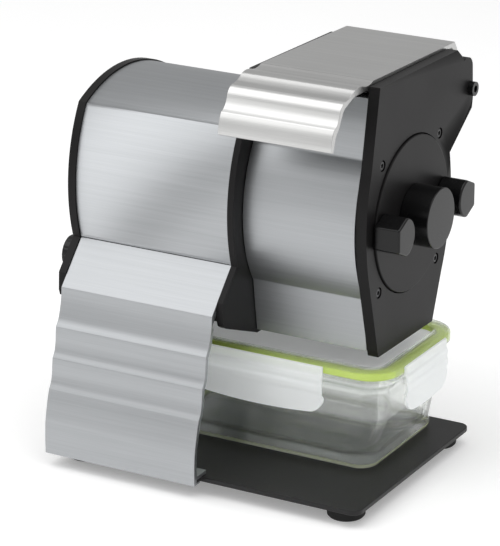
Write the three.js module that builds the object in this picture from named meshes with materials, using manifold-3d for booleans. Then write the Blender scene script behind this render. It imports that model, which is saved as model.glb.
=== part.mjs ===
// Electric rotary cheese grater on a steel base, with a glass storage box under its chute.
// Millimetres, +Z up. The machine is laid out from three datums: X = 0 is the inner face of
// the left side plate, Y = 0 is the front edge of the base plate, Z = 0 is the table.
// The finished group is moved so that its origin is the middle of its footprint.

import * as THREE from "three";
import { mergeVertices } from "three/addons/utils/BufferGeometryUtils.js";
import Module from "manifold-3d";

const wasm = await Module();
wasm.setup();

// ---------- driving dimensions ----------

const BASE = {
  right: 209.4, depth: 151, bottom: 8.5, top: 11.5, corner: 6.5, tongue: 5.1, tongueBottom: 9.6,
};
const FOOT = { radius: 11.4, fromLeft: 14, fromRight: 16.4, fromFront: 17, fromRear: 12 };

const LEFT_PLATE = { left: -5, right: 0 };
const MIDDLE_PLATE = { left: 105, right: 109.1 };
const RIGHT_PLATE = { left: 183.6, right: 190.6 };
const CHAMBER = { left: MIDDLE_PLATE.right + 0.3, right: RIGHT_PLATE.left - 0.3 };
const HOUSING = { left: 0.2, right: MIDDLE_PLATE.left - 0.2 };
const SHEET = 2;
const LEG_WALL = 3;
const REAR_LEG_RIGHT = 68;

const DRUM_AXIS = [100.2, 161.6];
const DRUM = { radius: 44, wall: 1.5, left: 112.5, right: 181.5 };
const PORT_RADIUS = 45.6;
const COVER = { radius: 47.5, recess: 3.5, proud: 1.2, plugRadius: 45 };
const BOSS = { radius: 18.3, end: 210.4 };
const WING = { outer: 50.6, shoulder: 40.4, inner: 29.8, halfHeight: 11.6, halfFlat: 7, end: 208.5 };

const HINGE_AXIS = [178.5, 218];
const HINGE_PIN = { radius: 2.5, headRadius: 4.4, headLength: 3.5 };
const KNUCKLE = { radius: 4.4, bore: 2.62 };
const LEVER = { left: 109.6, right: 183.1, frontTop: [63.7, 251.5], rearTop: [171, 248], thickness: 3 };

const ROD_POINTS = [[62.5, 201.4], [137.3, 200.8], [135.5, 122.2], [59.9, 124.2]];
const SCREW_POINTS = [[49.5, 207.5], [147, 202], [147.5, 124.5], [42, 139.5]];
const SCREW_PORT_RADIUS = 6;

const MODULE = 1.5;
const TEETH = { output: 40, idlerPinion: 12, idlerGear: 32, motorPinion: 10 };
const SLOW_STAGE = { left: 84, right: 94 };
const FAST_STAGE = { left: 70, right: 78 };
const MOTOR = { radius: 32, left: 4, right: 62, wall: 2 };
const BULKHEAD = { left: 65, right: 68 };

const SWITCH_AXIS = [53, 116];
const SWITCH = { knobRadius: 11, knobEnd: -18, stemRadius: 3.6 };

const BOX = { left: 32, right: 202, front: 48, rear: 150, corner: 20, rimTop: 71, lidTop: 77 };
const CLIP = { height: 31.5, thickness: 1.8, gap: 0.5, longHalf: 43.5, shortHalf: 27 };

// ---------- finishes ----------

const finish = (color, roughness, metalness) => (
  new THREE.MeshStandardMaterial({ color, roughness, metalness })
);
const BRUSHED = finish(0xc4c7ca, 0.38, 1);
const BLACK_PLATE = finish(0x3a3a3c, 0.62, 0.1);
const BLACK_STEEL = finish(0x242426, 0.42, 0.3);
const BLACK_PLASTIC = finish(0x1d1d1f, 0.35, 0);
const STEEL = finish(0xb4b6b8, 0.3, 1);
const COPPER = finish(0xa8653a, 0.5, 0.8);
const RUBBER = finish(0x161616, 0.85, 0);
const BRASS = finish(0xb99a55, 0.35, 1);
const PALE_PLASTIC = finish(0xe8e6dd, 0.5, 0);
const LIME_SEAL = finish(0xc4e04a, 0.5, 0);
const FROSTED = finish(0xeef1f2, 0.55, 0);
const GLASS = finish(0xcfe0d8, 0.06, 0);
FROSTED.transparent = true;
FROSTED.opacity = 0.75;
GLASS.transparent = true;
GLASS.opacity = 0.3;

// ---------- helpers ----------

const machine = new THREE.Group();

function addPart(name, geometry, material) {
  const mesh = new THREE.Mesh(geometry, material);
  mesh.name = name;
  machine.add(mesh);
  return mesh;
}

const vector = (point) => new THREE.Vector2(point[0], point[1]);

// Points on the circle through three points, from the first to the last.
function arcThrough(start, middle, end, steps) {
  const [ax, ay] = start;
  const [bx, by] = middle;
  const [cx, cy] = end;
  const d = 2 * (ax * (by - cy) + bx * (cy - ay) + cx * (ay - by));
  const a2 = ax * ax + ay * ay;
  const b2 = bx * bx + by * by;
  const c2 = cx * cx + cy * cy;
  const x = (a2 * (by - cy) + b2 * (cy - ay) + c2 * (ay - by)) / d;
  const y = (a2 * (cx - bx) + b2 * (ax - cx) + c2 * (bx - ax)) / d;
  const radius = Math.hypot(ax - x, ay - y);
  const from = Math.atan2(ay - y, ax - x);
  const wrap = (angle, sign) => ((angle * sign) % (2 * Math.PI) + 2 * Math.PI) % (2 * Math.PI);
  const through = Math.atan2(by - y, bx - x) - from;
  const total = Math.atan2(cy - y, cx - x) - from;
  const sign = wrap(through, 1) < wrap(total, 1) ? 1 : -1;
  const sweep = sign * wrap(total, sign);
  return Array.from({ length: steps + 1 }, (_, i) => {
    const angle = from + (sweep * i) / steps;
    return [x + radius * Math.cos(angle), y + radius * Math.sin(angle)];
  });
}

function circle(centre, radius, steps = 24, phase = 0) {
  return Array.from({ length: steps }, (_, i) => {
    const angle = phase + (2 * Math.PI * i) / steps;
    return [centre[0] + radius * Math.cos(angle), centre[1] + radius * Math.sin(angle)];
  });
}

// Moves an open line sideways by a distance, to its left when the distance is positive.
function offsetLine(points, distance) {
  const normals = points.slice(1).map((point, i) => {
    const dx = point[0] - points[i][0];
    const dy = point[1] - points[i][1];
    const length = Math.hypot(dx, dy);
    return [-dy / length, dx / length];
  });
  return points.map((point, i) => {
    const before = normals[Math.max(i - 1, 0)];
    const after = normals[Math.min(i, normals.length - 1)];
    const scale = distance / (1 + before[0] * after[0] + before[1] * after[1]);
    return [point[0] + scale * (before[0] + after[0]), point[1] + scale * (before[1] + after[1])];
  });
}

// The outline of a bent sheet: one face is the given line, the other lies beside it.
const sheetOutline = (points, thickness) => [...points, ...offsetLine(points, thickness).reverse()];

function shapeOf(outline, holes = []) {
  const shape = new THREE.Shape(outline.map(vector));
  shape.holes = holes.map((hole) => new THREE.Path(hole.map(vector)));
  return shape;
}

// A side profile drawn in Y and Z, drawn out along X from left to right.
function acrossMachine(outline, left, right, holes = []) {
  const geometry = new THREE.ExtrudeGeometry(shapeOf(outline, holes), {
    depth: right - left,
    bevelEnabled: false,
  });
  const yzx = new THREE.Matrix4().set(0, 0, 1, left, 1, 0, 0, 0, 0, 1, 0, 0, 0, 0, 0, 1);
  return geometry.applyMatrix4(yzx);
}

// A plan outline drawn in X and Y, raised from bottom to top.
function upward(outline, bottom, top, holes = []) {
  const geometry = new THREE.ExtrudeGeometry(shapeOf(outline, holes), {
    depth: top - bottom,
    bevelEnabled: false,
  });
  return geometry.translate(0, 0, bottom);
}

// A turned piece on an axis along X: each profile point is [x, radius].
function turned(profile, centre, segments = 32) {
  const points = profile.map(([x, radius]) => new THREE.Vector2(radius, x));
  const geometry = new THREE.LatheGeometry(points, segments);
  const upToX = new THREE.Matrix4().set(0, 1, 0, 0, 1, 0, 0, centre[0], 0, 0, -1, centre[1], 0, 0, 0, 1);
  return facingOut(geometry.applyMatrix4(upToX));
}

const disc = (left, right, radius, centre, segments = 32) => (
  turned([[left, 0], [left, radius], [right, radius], [right, 0]], centre, segments)
);

const ring = (left, right, outer, inner, centre, segments = 32) => (
  turned([[left, inner], [left, outer], [right, outer], [right, inner], [left, inner]], centre, segments)
);

function signedVolume(geometry) {
  const position = geometry.attributes.position;
  const index = geometry.index;
  const corner = (i) => new THREE.Vector3().fromBufferAttribute(position, index ? index.getX(i) : i);
  const count = index ? index.count : position.count;
  let total = 0;
  for (let i = 0; i < count; i += 3) {
    total += corner(i).dot(corner(i + 1).cross(corner(i + 2))) / 6;
  }
  return total;
}

// Turns every triangle over when the closed surface faces inwards.
function facingOut(source) {
  const geometry = source.index ? source.toNonIndexed() : source;
  if (signedVolume(geometry) > 0) return geometry;
  const array = geometry.attributes.position.array;
  for (let i = 0; i < array.length; i += 9) {
    for (let axis = 0; axis < 3; axis += 1) {
      const kept = array[i + 3 + axis];
      array[i + 3 + axis] = array[i + 6 + axis];
      array[i + 6 + axis] = kept;
    }
  }
  return geometry;
}

function toSolid(source) {
  const bare = source.clone();
  bare.deleteAttribute("normal");
  bare.deleteAttribute("uv");
  const merged = mergeVertices(bare, 1e-4);
  const mesh = new wasm.Mesh({
    numProp: 3,
    vertProperties: new Float32Array(merged.attributes.position.array),
    triVerts: new Uint32Array(merged.index.array),
  });
  return new wasm.Manifold(mesh);
}

function toGeometry(solid) {
  const mesh = solid.getMesh();
  const geometry = new THREE.BufferGeometry();
  geometry.setAttribute("position", new THREE.BufferAttribute(mesh.vertProperties, 3));
  geometry.setIndex(new THREE.BufferAttribute(mesh.triVerts, 1));
  return geometry;
}

const cut = (body, ...tools) => toGeometry(
  tools.reduce((solid, tool) => solid.subtract(toSolid(tool)), toSolid(body)),
);

const join = (...pieces) => toGeometry(
  pieces.slice(1).reduce((solid, piece) => solid.add(toSolid(piece)), toSolid(pieces[0])),
);

function block(x, y, z) {
  const geometry = new THREE.BoxGeometry(x[1] - x[0], y[1] - y[0], z[1] - z[0]);
  return geometry.translate((x[0] + x[1]) / 2, (y[0] + y[1]) / 2, (z[0] + z[1]) / 2);
}

// A rectangle with round corners, as a plan outline with the same point count for any size.
function roundedRectangle(left, right, front, rear, radius, steps = 5) {
  const corners = [[right, rear, 0], [left, rear, 1], [left, front, 2], [right, front, 3]];
  return corners.flatMap(([x, y, quarter]) => {
    const cx = x === right ? x - radius : x + radius;
    const cy = y === rear ? y - radius : y + radius;
    return Array.from({ length: steps + 1 }, (_, i) => {
      const angle = ((quarter + i / steps) * Math.PI) / 2;
      return [cx + radius * Math.cos(angle), cy + radius * Math.sin(angle)];
    });
  });
}

const boxOutline = (inset) => roundedRectangle(
  BOX.left + inset,
  BOX.right - inset,
  BOX.front + inset,
  BOX.rear - inset,
  BOX.corner - inset,
);

// Joins level outlines, each [outline, height], into one closed skin with flat ends.
function stacked(levels) {
  const count = levels[0][0].length;
  const positions = levels.flatMap(([outline, z]) => outline.flatMap(([x, y]) => [x, y, z]));
  const triangles = [];
  for (let level = 0; level + 1 < levels.length; level += 1) {
    for (let i = 0; i < count; i += 1) {
      const a = level * count + i;
      const b = level * count + ((i + 1) % count);
      triangles.push(a, b, b + count, a, b + count, a + count);
    }
  }
  const lid = THREE.ShapeUtils.triangulateShape(levels[0][0].map(vector), []);
  const last = (levels.length - 1) * count;
  lid.forEach(([a, b, c]) => triangles.push(a, c, b));
  lid.forEach(([a, b, c]) => triangles.push(last + a, last + b, last + c));
  const geometry = new THREE.BufferGeometry();
  geometry.setAttribute("position", new THREE.Float32BufferAttribute(positions, 3));
  geometry.setIndex(triangles);
  return facingOut(geometry);
}

// ---------- side profiles, each point is [y, z] ----------

// The motor housing seen from the side: from the top of the front leg over to the rear leg.
const HOUSING_START = [36.6, 133.8];
const HOUSING_END = [152, 118];
const housingLine = [
  ...arcThrough(HOUSING_START, [32, 167], [45.7, 215.5], 10),
  ...arcThrough([45.7, 215.5], [91, 227.2], [150.5, 208.5], 12).slice(1),
  ...arcThrough([150.5, 208.5], [161, 163], HOUSING_END, 10).slice(1),
];
const PLATE_PROUD = 1;
const plateRim = offsetLine(housingLine, PLATE_PROUD);
const plateLowerFront = [[60.3, 84], [23.5, 98.6], [19.6, 101], [18.4, 104.5], [19, 115.7]];
const PLATE_LOWER_REAR = [140, 83.5];

// The rear ear that carries the lever's hinge pin, from the top edge down to its root.
const EAR_ROOT = [181.3, 205.2];
const earLine = [
  [159.5, 246.5],
  [165.5, 241.6],
  [168.9, 237.4],
  [171, 238.2],
  ...arcThrough([174, 238.3], [179.3, 236], [181.2, 231], 4),
  [182.4, 211],
  EAR_ROOT,
];

const GRATER_FRONT_TOP = [57.8, 249.4];
const GRATER_BOTTOM_FRONT = [60.4, 83.6];
const GRATER_BOTTOM_REAR = [132.2, 82.6];

function leftPlateOutline() {
  return [...plateLowerFront, ...plateRim, PLATE_LOWER_REAR];
}

// The middle plate follows the housing low down and the grating unit above it.
function middlePlateOutline() {
  const front = plateRim.slice(0, 11);
  const rear = plateRim.slice(-10).filter(([, z]) => z < 190);
  return [
    ...plateLowerFront,
    ...front,
    [51, 217.2],
    GRATER_FRONT_TOP,
    ...earLine,
    [159.8, 191],
    ...rear,
    PLATE_LOWER_REAR,
  ];
}

function rightPlateOutline() {
  return [
    GRATER_BOTTOM_REAR,
    GRATER_BOTTOM_FRONT,
    ...arcThrough([48.2, 130], [42.9, 165], [48.6, 201], 10),
    GRATER_FRONT_TOP,
    ...earLine,
    ...arcThrough([151.7, 184.8], [154.2, 158], [143.6, 112], 8),
  ];
}

// ---------- base and legs ----------

function makeBase() {
  const { right, depth, corner, tongue, bottom, top, tongueBottom } = BASE;
  const quarter = Math.SQRT1_2 * corner;
  const rightFront = [right - corner + quarter, corner - quarter];
  const rightRear = [right - corner + quarter, depth - corner + quarter];
  const outline = [
    [HOUSING.left, 0],
    ...arcThrough([right - corner, 0], rightFront, [right, corner], 5),
    ...arcThrough([right, depth - corner], rightRear, [right - corner, depth], 5),
    [HOUSING.left, depth],
  ];
  const plate = upward(outline, bottom, top);
  const frontTongue = block([HOUSING.left, HOUSING.right], [-tongue, 1], [tongueBottom, top]);
  const rearTongue = block([HOUSING.left, REAR_LEG_RIGHT], [depth - 1, depth + tongue], [tongueBottom, top]);
  addPart("base_plate", join(plate, frontTongue, rearTongue), BLACK_STEEL);
}

function makeFeet() {
  const rows = { front: FOOT.fromFront, rear: BASE.depth - FOOT.fromRear };
  const columns = { left: FOOT.fromLeft, right: BASE.right - FOOT.fromRight };
  const profile = [[0, 0], [FOOT.radius - 1, 0], [FOOT.radius, 1.2], [FOOT.radius, BASE.bottom]];
  const points = [...profile, [0, BASE.bottom]].map(vector);
  Object.entries(rows).forEach(([row, y]) => {
    Object.entries(columns).forEach(([column, x]) => {
      const geometry = new THREE.LatheGeometry(points, 20).rotateX(Math.PI / 2);
      addPart(`foot_${row}_${column}`, facingOut(geometry).translate(x, y, 0), RUBBER);
    });
  });
}

// Both legs grip a tongue of the base plate in a channel, drawn here for a leg facing -Y.
const LIP = { upperReach: 5.7, lowerReach: -1.4, upperTop: 14.1, lowerBottom: 8.4, gap: 0.1 };
const WALL_FACE = -8.4;

function gripChannel() {
  const inner = WALL_FACE + LEG_WALL;
  return [
    [WALL_FACE, LIP.lowerBottom],
    [LIP.lowerReach, LIP.lowerBottom],
    [LIP.lowerReach, BASE.tongueBottom - LIP.gap],
    [inner, BASE.tongueBottom - LIP.gap],
    [inner, BASE.top + LIP.gap],
    [LIP.upperReach, BASE.top + LIP.gap],
    [LIP.upperReach, LIP.upperTop],
    [inner + 0.2, LIP.upperTop],
  ];
}

// A smooth line through the points, with the given number of steps over its whole length.
const smoothLine = (points, steps) => (
  new THREE.SplineCurve(points.map(vector)).getPoints(steps).map(({ x, y }) => [x, y])
);

// The front leg is an extrusion: a slope, then three hollow steps with a crisp edge at each end.
function makeFrontLeg() {
  const face = [
    [36.6, 133.5],
    ...smoothLine([[13.4, 108.6], [12.7, 102], [11.2, 95.5], [9.2, 89.8], [6.2, 85.3]], 6),
    ...smoothLine([[6.2, 85.3], [5.75, 81.2], [5.3, 75.8], [4.2, 70.9], [1.7, 66.6]], 6).slice(1),
    ...smoothLine([[1.7, 66.6], [1.15, 62.5], [0.6, 56.7], [-0.6, 52.2], [-3, 47.9]], 6).slice(1),
    ...smoothLine([[-3, 47.9], [-4.8, 42.2], [-6.6, 34.8], [-7.8, 28.5], [WALL_FACE, 20]], 6).slice(1),
  ];
  const back = offsetLine([...face, [WALL_FACE, 10]], LEG_WALL).slice(0, -1).reverse();
  const outline = [...face, ...gripChannel(), ...back];
  addPart("front_leg", acrossMachine(outline, HOUSING.left, HOUSING.right), BRUSHED);
}

function makeRearLeg() {
  const mirror = ([y, z]) => [BASE.depth - y, z];
  const back = [[WALL_FACE, 96], [-6.4, 108], [-1.6, 117.4]];
  const inside = offsetLine(back, -LEG_WALL).reverse();
  const outline = [...gripChannel(), ...inside.reverse(), ...back.slice().reverse()].map(mirror);
  addPart("rear_leg", acrossMachine(outline, HOUSING.left, REAR_LEG_RIGHT), BRUSHED);
}

// ---------- plates and shells ----------

const hole = (centre, radius, steps = 12) => circle(centre, radius, steps);

function makePlates() {
  const leftHoles = SCREW_POINTS.map((point) => hole(point, 2.1));
  leftHoles.push(hole(SWITCH_AXIS, SWITCH.stemRadius + 0.4));
  addPart(
    "left_side_plate",
    acrossMachine(leftPlateOutline(), LEFT_PLATE.left, LEFT_PLATE.right, leftHoles),
    BLACK_PLATE,
  );
  const middleHoles = ROD_POINTS.map((point) => hole(point, 2.2));
  middleHoles.push(hole(HINGE_AXIS, KNUCKLE.bore));
  middleHoles.push(hole(DRUM_AXIS, 11.2, 28));
  addPart(
    "middle_plate",
    acrossMachine(middlePlateOutline(), MIDDLE_PLATE.left, MIDDLE_PLATE.right, middleHoles),
    BLACK_PLATE,
  );
}

// The right plate has a stepped round port, and sunk seats for the four tie rods.
function makeRightPlate() {
  const { left, right } = RIGHT_PLATE;
  const holes = ROD_POINTS.map((point) => hole(point, 2.2));
  holes.push(hole(HINGE_AXIS, KNUCKLE.bore));
  holes.push(hole(DRUM_AXIS, PORT_RADIUS, 40));
  const plate = acrossMachine(rightPlateOutline(), left, right, holes);
  const seat = disc(right - COVER.recess, right + 1, COVER.radius + 0.7, DRUM_AXIS, 40);
  const sinks = ROD_POINTS.map((point) => disc(right - 3, right + 1, 3.4, point, 12));
  addPart("right_side_plate", cut(plate, seat, ...sinks), BLACK_PLATE);
}

function makeMotorShell() {
  const skin = acrossMachine(sheetOutline(housingLine, -SHEET), HOUSING.left, HOUSING.right);
  const ports = SCREW_POINTS.map((point) => (
    disc(HOUSING.left, HOUSING.right, SCREW_PORT_RADIUS, point, 12)
  ));
  const bores = SCREW_POINTS.map((point) => disc(-1, HOUSING.right + 1, 2.2, point, 12));
  const shell = join(skin, ...ports);
  const trimmed = keepInside(shell);
  addPart("motor_shell", cut(trimmed, ...bores, ...ventSlots(), glandHole()), BRUSHED);
}

// Removes the part of a round port that would stand out of the housing's outer face.
function keepInside(geometry) {
  const inside = acrossMachine(housingLine, HOUSING.left, HOUSING.right);
  return toGeometry(toSolid(geometry).intersect(toSolid(inside)));
}

// Cooling slots across the back of the motor housing.
const VENT = { count: 7, pitch: 7, height: 3, left: 30, right: 80, bottom: 142 };

function ventSlots() {
  return Array.from({ length: VENT.count }, (_, i) => {
    const z = VENT.bottom + i * VENT.pitch;
    return block([VENT.left, VENT.right], [150, 170], [z, z + VENT.height]);
  });
}

// The cord leaves the back of the housing through a rubber gland.
const GLAND = { x: 16, z: 136, radius: 5.5 };
const alongY = (profile, x, z) => {
  const points = profile.map(([y, radius]) => new THREE.Vector2(radius, y));
  return facingOut(new THREE.LatheGeometry(points, 24)).translate(x, 0, z);
};
const glandHole = () => alongY([[150, 0], [150, 5.9], [170, 5.9], [170, 0]], GLAND.x, GLAND.z);

function makeGland() {
  const { x, z, radius } = GLAND;
  const profile = [[150.5, 3], [150.5, radius], [160.4, radius], [160.4, 8], [163.5, 7], [163.5, 3]];
  const body = alongY([...profile, [150.5, 3]], x, z);
  addPart("cord_gland", body, RUBBER);
}

function makeBottomCover() {
  const line = [[22.5, 111], [22.5, 102.5], [61, 86], [139.3, 85.6], [150.2, 114.5]];
  const outline = sheetOutline(line, 1.5);
  addPart("bottom_cover", acrossMachine(outline, HOUSING.left, HOUSING.right), BLACK_STEEL);
}

function makeGraterShells() {
  const front = [
    [59.2, 86.5],
    ...arcThrough([54.3, 120], [41.8, 164], [54.9, 206.5], 10),
    [58.3, 242],
  ];
  const rear = [
    [150.2, 228],
    ...arcThrough([150.7, 184.5], [153.2, 158], [142.6, 112], 8),
    [131.9, 85],
  ];
  const { left, right } = CHAMBER;
  addPart("grater_front_shell", acrossMachine(sheetOutline(front, -SHEET), left, right), BRUSHED);
  addPart("grater_rear_shell", acrossMachine(sheetOutline(rear, -SHEET), left, right), BRUSHED);
}

// Bent liners that turn the space over the drum into a straight-sided cheese well.
function makeHopperWalls() {
  const { left, right } = CHAMBER;
  const front = sheetOutline([[60.8, 242], [68.5, 242], [68.5, 197]], -1.5);
  const rear = sheetOutline([[147.8, 228], [132.5, 228], [132.5, 197]], 1.5);
  addPart("hopper_front_wall", acrossMachine(front, left, right), STEEL);
  addPart("hopper_rear_wall", acrossMachine(rear, left, right), STEEL);
}

function makeTieRods() {
  const { right } = RIGHT_PLATE;
  const profile = [
    [MIDDLE_PLATE.left, 0], [MIDDLE_PLATE.left, 2], [MIDDLE_PLATE.right, 2], [MIDDLE_PLATE.right, 3],
    [RIGHT_PLATE.left, 3], [RIGHT_PLATE.left, 2], [right - 3, 2], [right - 3, 3.1],
    [right - 0.4, 3.1], [right - 0.4, 0],
  ];
  const names = ["front_top", "rear_top", "rear_bottom", "front_bottom"];
  ROD_POINTS.forEach((point, i) => addPart(`tie_rod_${names[i]}`, turned(profile, point, 12), STEEL));
}

function makeCoverScrews() {
  const face = LEFT_PLATE.left;
  const profile = [
    [face - 4, 0], [face - 3.6, 2], [face - 2, 3.8], [face, 4.2], [face, 1.9], [9, 1.9], [9, 0],
  ];
  const names = ["front_top", "rear_top", "rear_bottom", "front_bottom"];
  SCREW_POINTS.forEach((point, i) => {
    addPart(`cover_screw_${names[i]}`, turned(profile, point, 12), BLACK_STEEL);
  });
}

// ---------- press lever ----------

function makeHingePin() {
  const face = RIGHT_PLATE.right;
  const { radius, headRadius, headLength } = HINGE_PIN;
  const profile = [
    [102, 0], [102, radius], [face, radius], [face, headRadius],
    [face + headLength - 0.8, headRadius], [face + headLength, headRadius - 0.8], [face + headLength, 0],
  ];
  addPart("hinge_pin", turned(profile, HINGE_AXIS, 24), STEEL);
}

// One extrusion: stepped finger nose, flat top, and an arm curled round the pin at the rear.
function makeLever() {
  const { frontTop, rearTop, thickness } = LEVER;
  const nose = [
    ...smoothLine([frontTop, [60, 250.4], [55, 250.2], [49.5, 251.6], [45, 252.1], [41, 251.5]], 9),
    ...smoothLine([[41, 251.5], [37.6, 249.7], [33.6, 248.2], [29, 247.7]], 5).slice(1),
    ...smoothLine([[29, 247.7], [24, 244.1], [22.7, 241], [21.2, 238], [16.3, 234.3]], 10).slice(1),
    ...smoothLine([[16.3, 234.3], [14.7, 231.5], [13.5, 228.2], [12.7, 222.6]], 6).slice(1),
  ];
  const noseInside = smoothLine([
    [15.6, 221], [16.9, 225], [18.6, 229.8], [22.3, 234], [25.4, 239.2], [28.2, 243],
    [33, 244.9], [41, 247.4], [50, 247.3],
  ], 16);
  const [py, pz] = HINGE_AXIS;
  const curl = Array.from({ length: 17 }, (_, i) => {
    const angle = THREE.MathUtils.degToRad(40 - i * 16.25);
    return [py + KNUCKLE.radius * Math.cos(angle), pz + KNUCKLE.radius * Math.sin(angle)];
  });
  const outline = [
    ...nose,
    [13.6, 221.2],
    ...noseInside,
    [58, 247.3],
    [63.8, frontTop[1] - thickness],
    [166.8, rearTop[1] - thickness + 0.1],
    [170.2, 242],
    [173.2, 233],
    ...curl.reverse(),
    [177.2, 236],
    [174.2, 243.5],
    rearTop,
  ];
  const bore = circle(HINGE_AXIS, KNUCKLE.bore, 24);
  addPart("press_lever", acrossMachine(outline, LEVER.left, LEVER.right, [bore]), BRUSHED);
}

// The pusher's front face is an arc about the hinge, and its lower face an arc about the drum.
const PUSHER = {
  hingeRadius: 108, drumRadius: 46.8, rear: 131, left: 111.2, right: 181.6,
  low: 201, frontTop: 248, rearTop: 246.2,
};

function makePusher() {
  const [hy, hz] = HINGE_AXIS;
  const [dy, dz] = DRUM_AXIS;
  const { low, frontTop, rearTop, rear } = PUSHER;
  const frontY = (z) => hy - Math.sqrt(PUSHER.hingeRadius ** 2 - (z - hz) ** 2);
  const front = Array.from({ length: 7 }, (_, i) => {
    const z = frontTop + ((low - frontTop) * i) / 6;
    return [frontY(z), z];
  });
  const from = Math.asin((low - dz) / PUSHER.drumRadius);
  const span = Math.PI - 2 * from;
  const hollow = Array.from({ length: 13 }, (_, i) => {
    const angle = Math.PI - from - (span * i) / 12;
    return [dy + PUSHER.drumRadius * Math.cos(angle), dz + PUSHER.drumRadius * Math.sin(angle)];
  });
  const outline = [...front, ...hollow, [rear, low], [rear, rearTop]];
  const body = acrossMachine(outline, PUSHER.left, PUSHER.right);
  const bores = pusherScrewSpots().map(([x, y]) => standing([[240, 0], [240, 2], [260, 2], [260, 0]], x, y));
  addPart("pusher_block", cut(body, ...bores), BLACK_PLASTIC);
}

const pusherScrewSpots = () => {
  const middle = (PUSHER.left + PUSHER.right) / 2;
  return [[middle, 88], [middle, 118]];
};

function standing(profile, x, y) {
  const points = profile.map(([z, radius]) => new THREE.Vector2(radius, z));
  const geometry = new THREE.LatheGeometry(points, 16).rotateX(Math.PI / 2);
  return facingOut(geometry).translate(x, y, 0);
}

// ---------- drum, its cover and grip ----------

function makeSpindle() {
  const profile = [[119, 0], [119, 5], [122, 6], [178, 6], [178, 9], [183, 9], [183, 6], [194, 6], [194, 0]];
  addPart("drum_spindle", turned(profile, DRUM_AXIS, 16), STEEL);
}

function makeCover() {
  const face = RIGHT_PLATE.right;
  const seat = face - COVER.recess;
  const profile = [
    [seat - 3, 6.3], [seat - 3, COVER.plugRadius], [seat + 0.1, COVER.plugRadius],
    [seat + 0.1, COVER.radius], [face + COVER.proud - 0.8, COVER.radius],
    [face + COVER.proud, COVER.radius - 0.8], [face + COVER.proud, 6.3], [seat - 3, 6.3],
  ];
  addPart("drum_cover", turned(profile, DRUM_AXIS, 40), BLACK_PLASTIC);
}

function makeGrip() {
  const face = RIGHT_PLATE.right + COVER.proud;
  const boss = [
    [face, 6.3], [face, BOSS.radius], [BOSS.end - 1, BOSS.radius], [BOSS.end, BOSS.radius - 1],
    [BOSS.end, 0], [196, 0], [196, 6.3], [face, 6.3],
  ];
  addPart("grip_boss", turned(boss, DRUM_AXIS, 28), BLACK_PLASTIC);
  [-1, 1].forEach((side) => {
    const outline = wingOutline(side);
    const name = side < 0 ? "grip_wing_front" : "grip_wing_rear";
    addPart(name, acrossMachine(outline, face, WING.end), BLACK_PLASTIC);
  });
}

// Each wing is a D: flat outside with long slanted shoulders, and round towards the boss.
function wingOutline(side) {
  const [dy, dz] = DRUM_AXIS;
  const { outer, shoulder, inner, halfHeight, halfFlat } = WING;
  const spot = (out, up) => [dy + side * out, dz + up];
  const noseStart = spot(shoulder - 1, halfHeight);
  const noseEnd = spot(shoulder - 1, -halfHeight);
  return [
    spot(shoulder, -halfHeight),
    spot(outer, -halfFlat),
    spot(outer, halfFlat),
    spot(shoulder, halfHeight),
    ...arcThrough(noseStart, spot(inner, 0), noseEnd, 12),
  ];
}

function makeDrum() {
  const { left, right, radius, wall } = DRUM;
  const inner = radius - wall;
  addPart("grating_drum", ring(left, right, radius, inner, DRUM_AXIS, 36), STEEL);
  const seat = inner - 0.3;
  const capLeft = turned([
    [left, 0], [left, seat], [left + 6, seat], [left + 6, 12], [left + 12, 12], [left + 12, 0],
  ], DRUM_AXIS, 24);
  const socket = acrossMachine(hexagon(5.2), left - 1, left + 5.5);
  const bearing = disc(left + 5, left + 13, 6.3, DRUM_AXIS, 16);
  addPart("drum_cap_left", cut(capLeft, socket, bearing), PALE_PLASTIC);
  const capRight = [[right - 6, 6.3], [right - 6, seat], [right - 3.8, seat], [right - 3.8, 6.3]];
  addPart("drum_cap_right", turned([...capRight, [right - 6, 6.3]], DRUM_AXIS, 24), PALE_PLASTIC);
}

const hexagon = (radius) => circle(DRUM_AXIS, radius, 6);

// ---------- motor and gears ----------

const direction = (degrees) => {
  const angle = THREE.MathUtils.degToRad(degrees);
  return [Math.cos(angle), Math.sin(angle)];
};
const stepFrom = (point, degrees, distance) => {
  const [c, s] = direction(degrees);
  return [point[0] + distance * c, point[1] + distance * s];
};
const IDLER_BEARING = 160;
const MOTOR_BEARING = -40;
const IDLER_AXIS = stepFrom(DRUM_AXIS, IDLER_BEARING, (MODULE * (TEETH.output + TEETH.idlerPinion)) / 2);
const MOTOR_AXIS = stepFrom(IDLER_AXIS, MOTOR_BEARING, (MODULE * (TEETH.idlerGear + TEETH.motorPinion)) / 2);

// A spur gear outline with one tooth centred on the given bearing, in degrees.
function gearOutline(centre, teeth, bearing) {
  const pitchRadius = (MODULE * teeth) / 2;
  const tip = { radius: pitchRadius + 0.9 * MODULE, half: 0.3 * MODULE };
  const root = { radius: pitchRadius - 1.15 * MODULE, half: 0.97 * MODULE };
  const start = THREE.MathUtils.degToRad(bearing);
  return Array.from({ length: teeth }, (_, i) => {
    const middle = start + (2 * Math.PI * i) / teeth;
    return [[root, -1], [tip, -1], [tip, 1], [root, 1]].map(([level, sign]) => {
      const angle = middle + (sign * level.half) / level.radius;
      return [centre[0] + level.radius * Math.cos(angle), centre[1] + level.radius * Math.sin(angle)];
    });
  }).flat();
}

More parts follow.
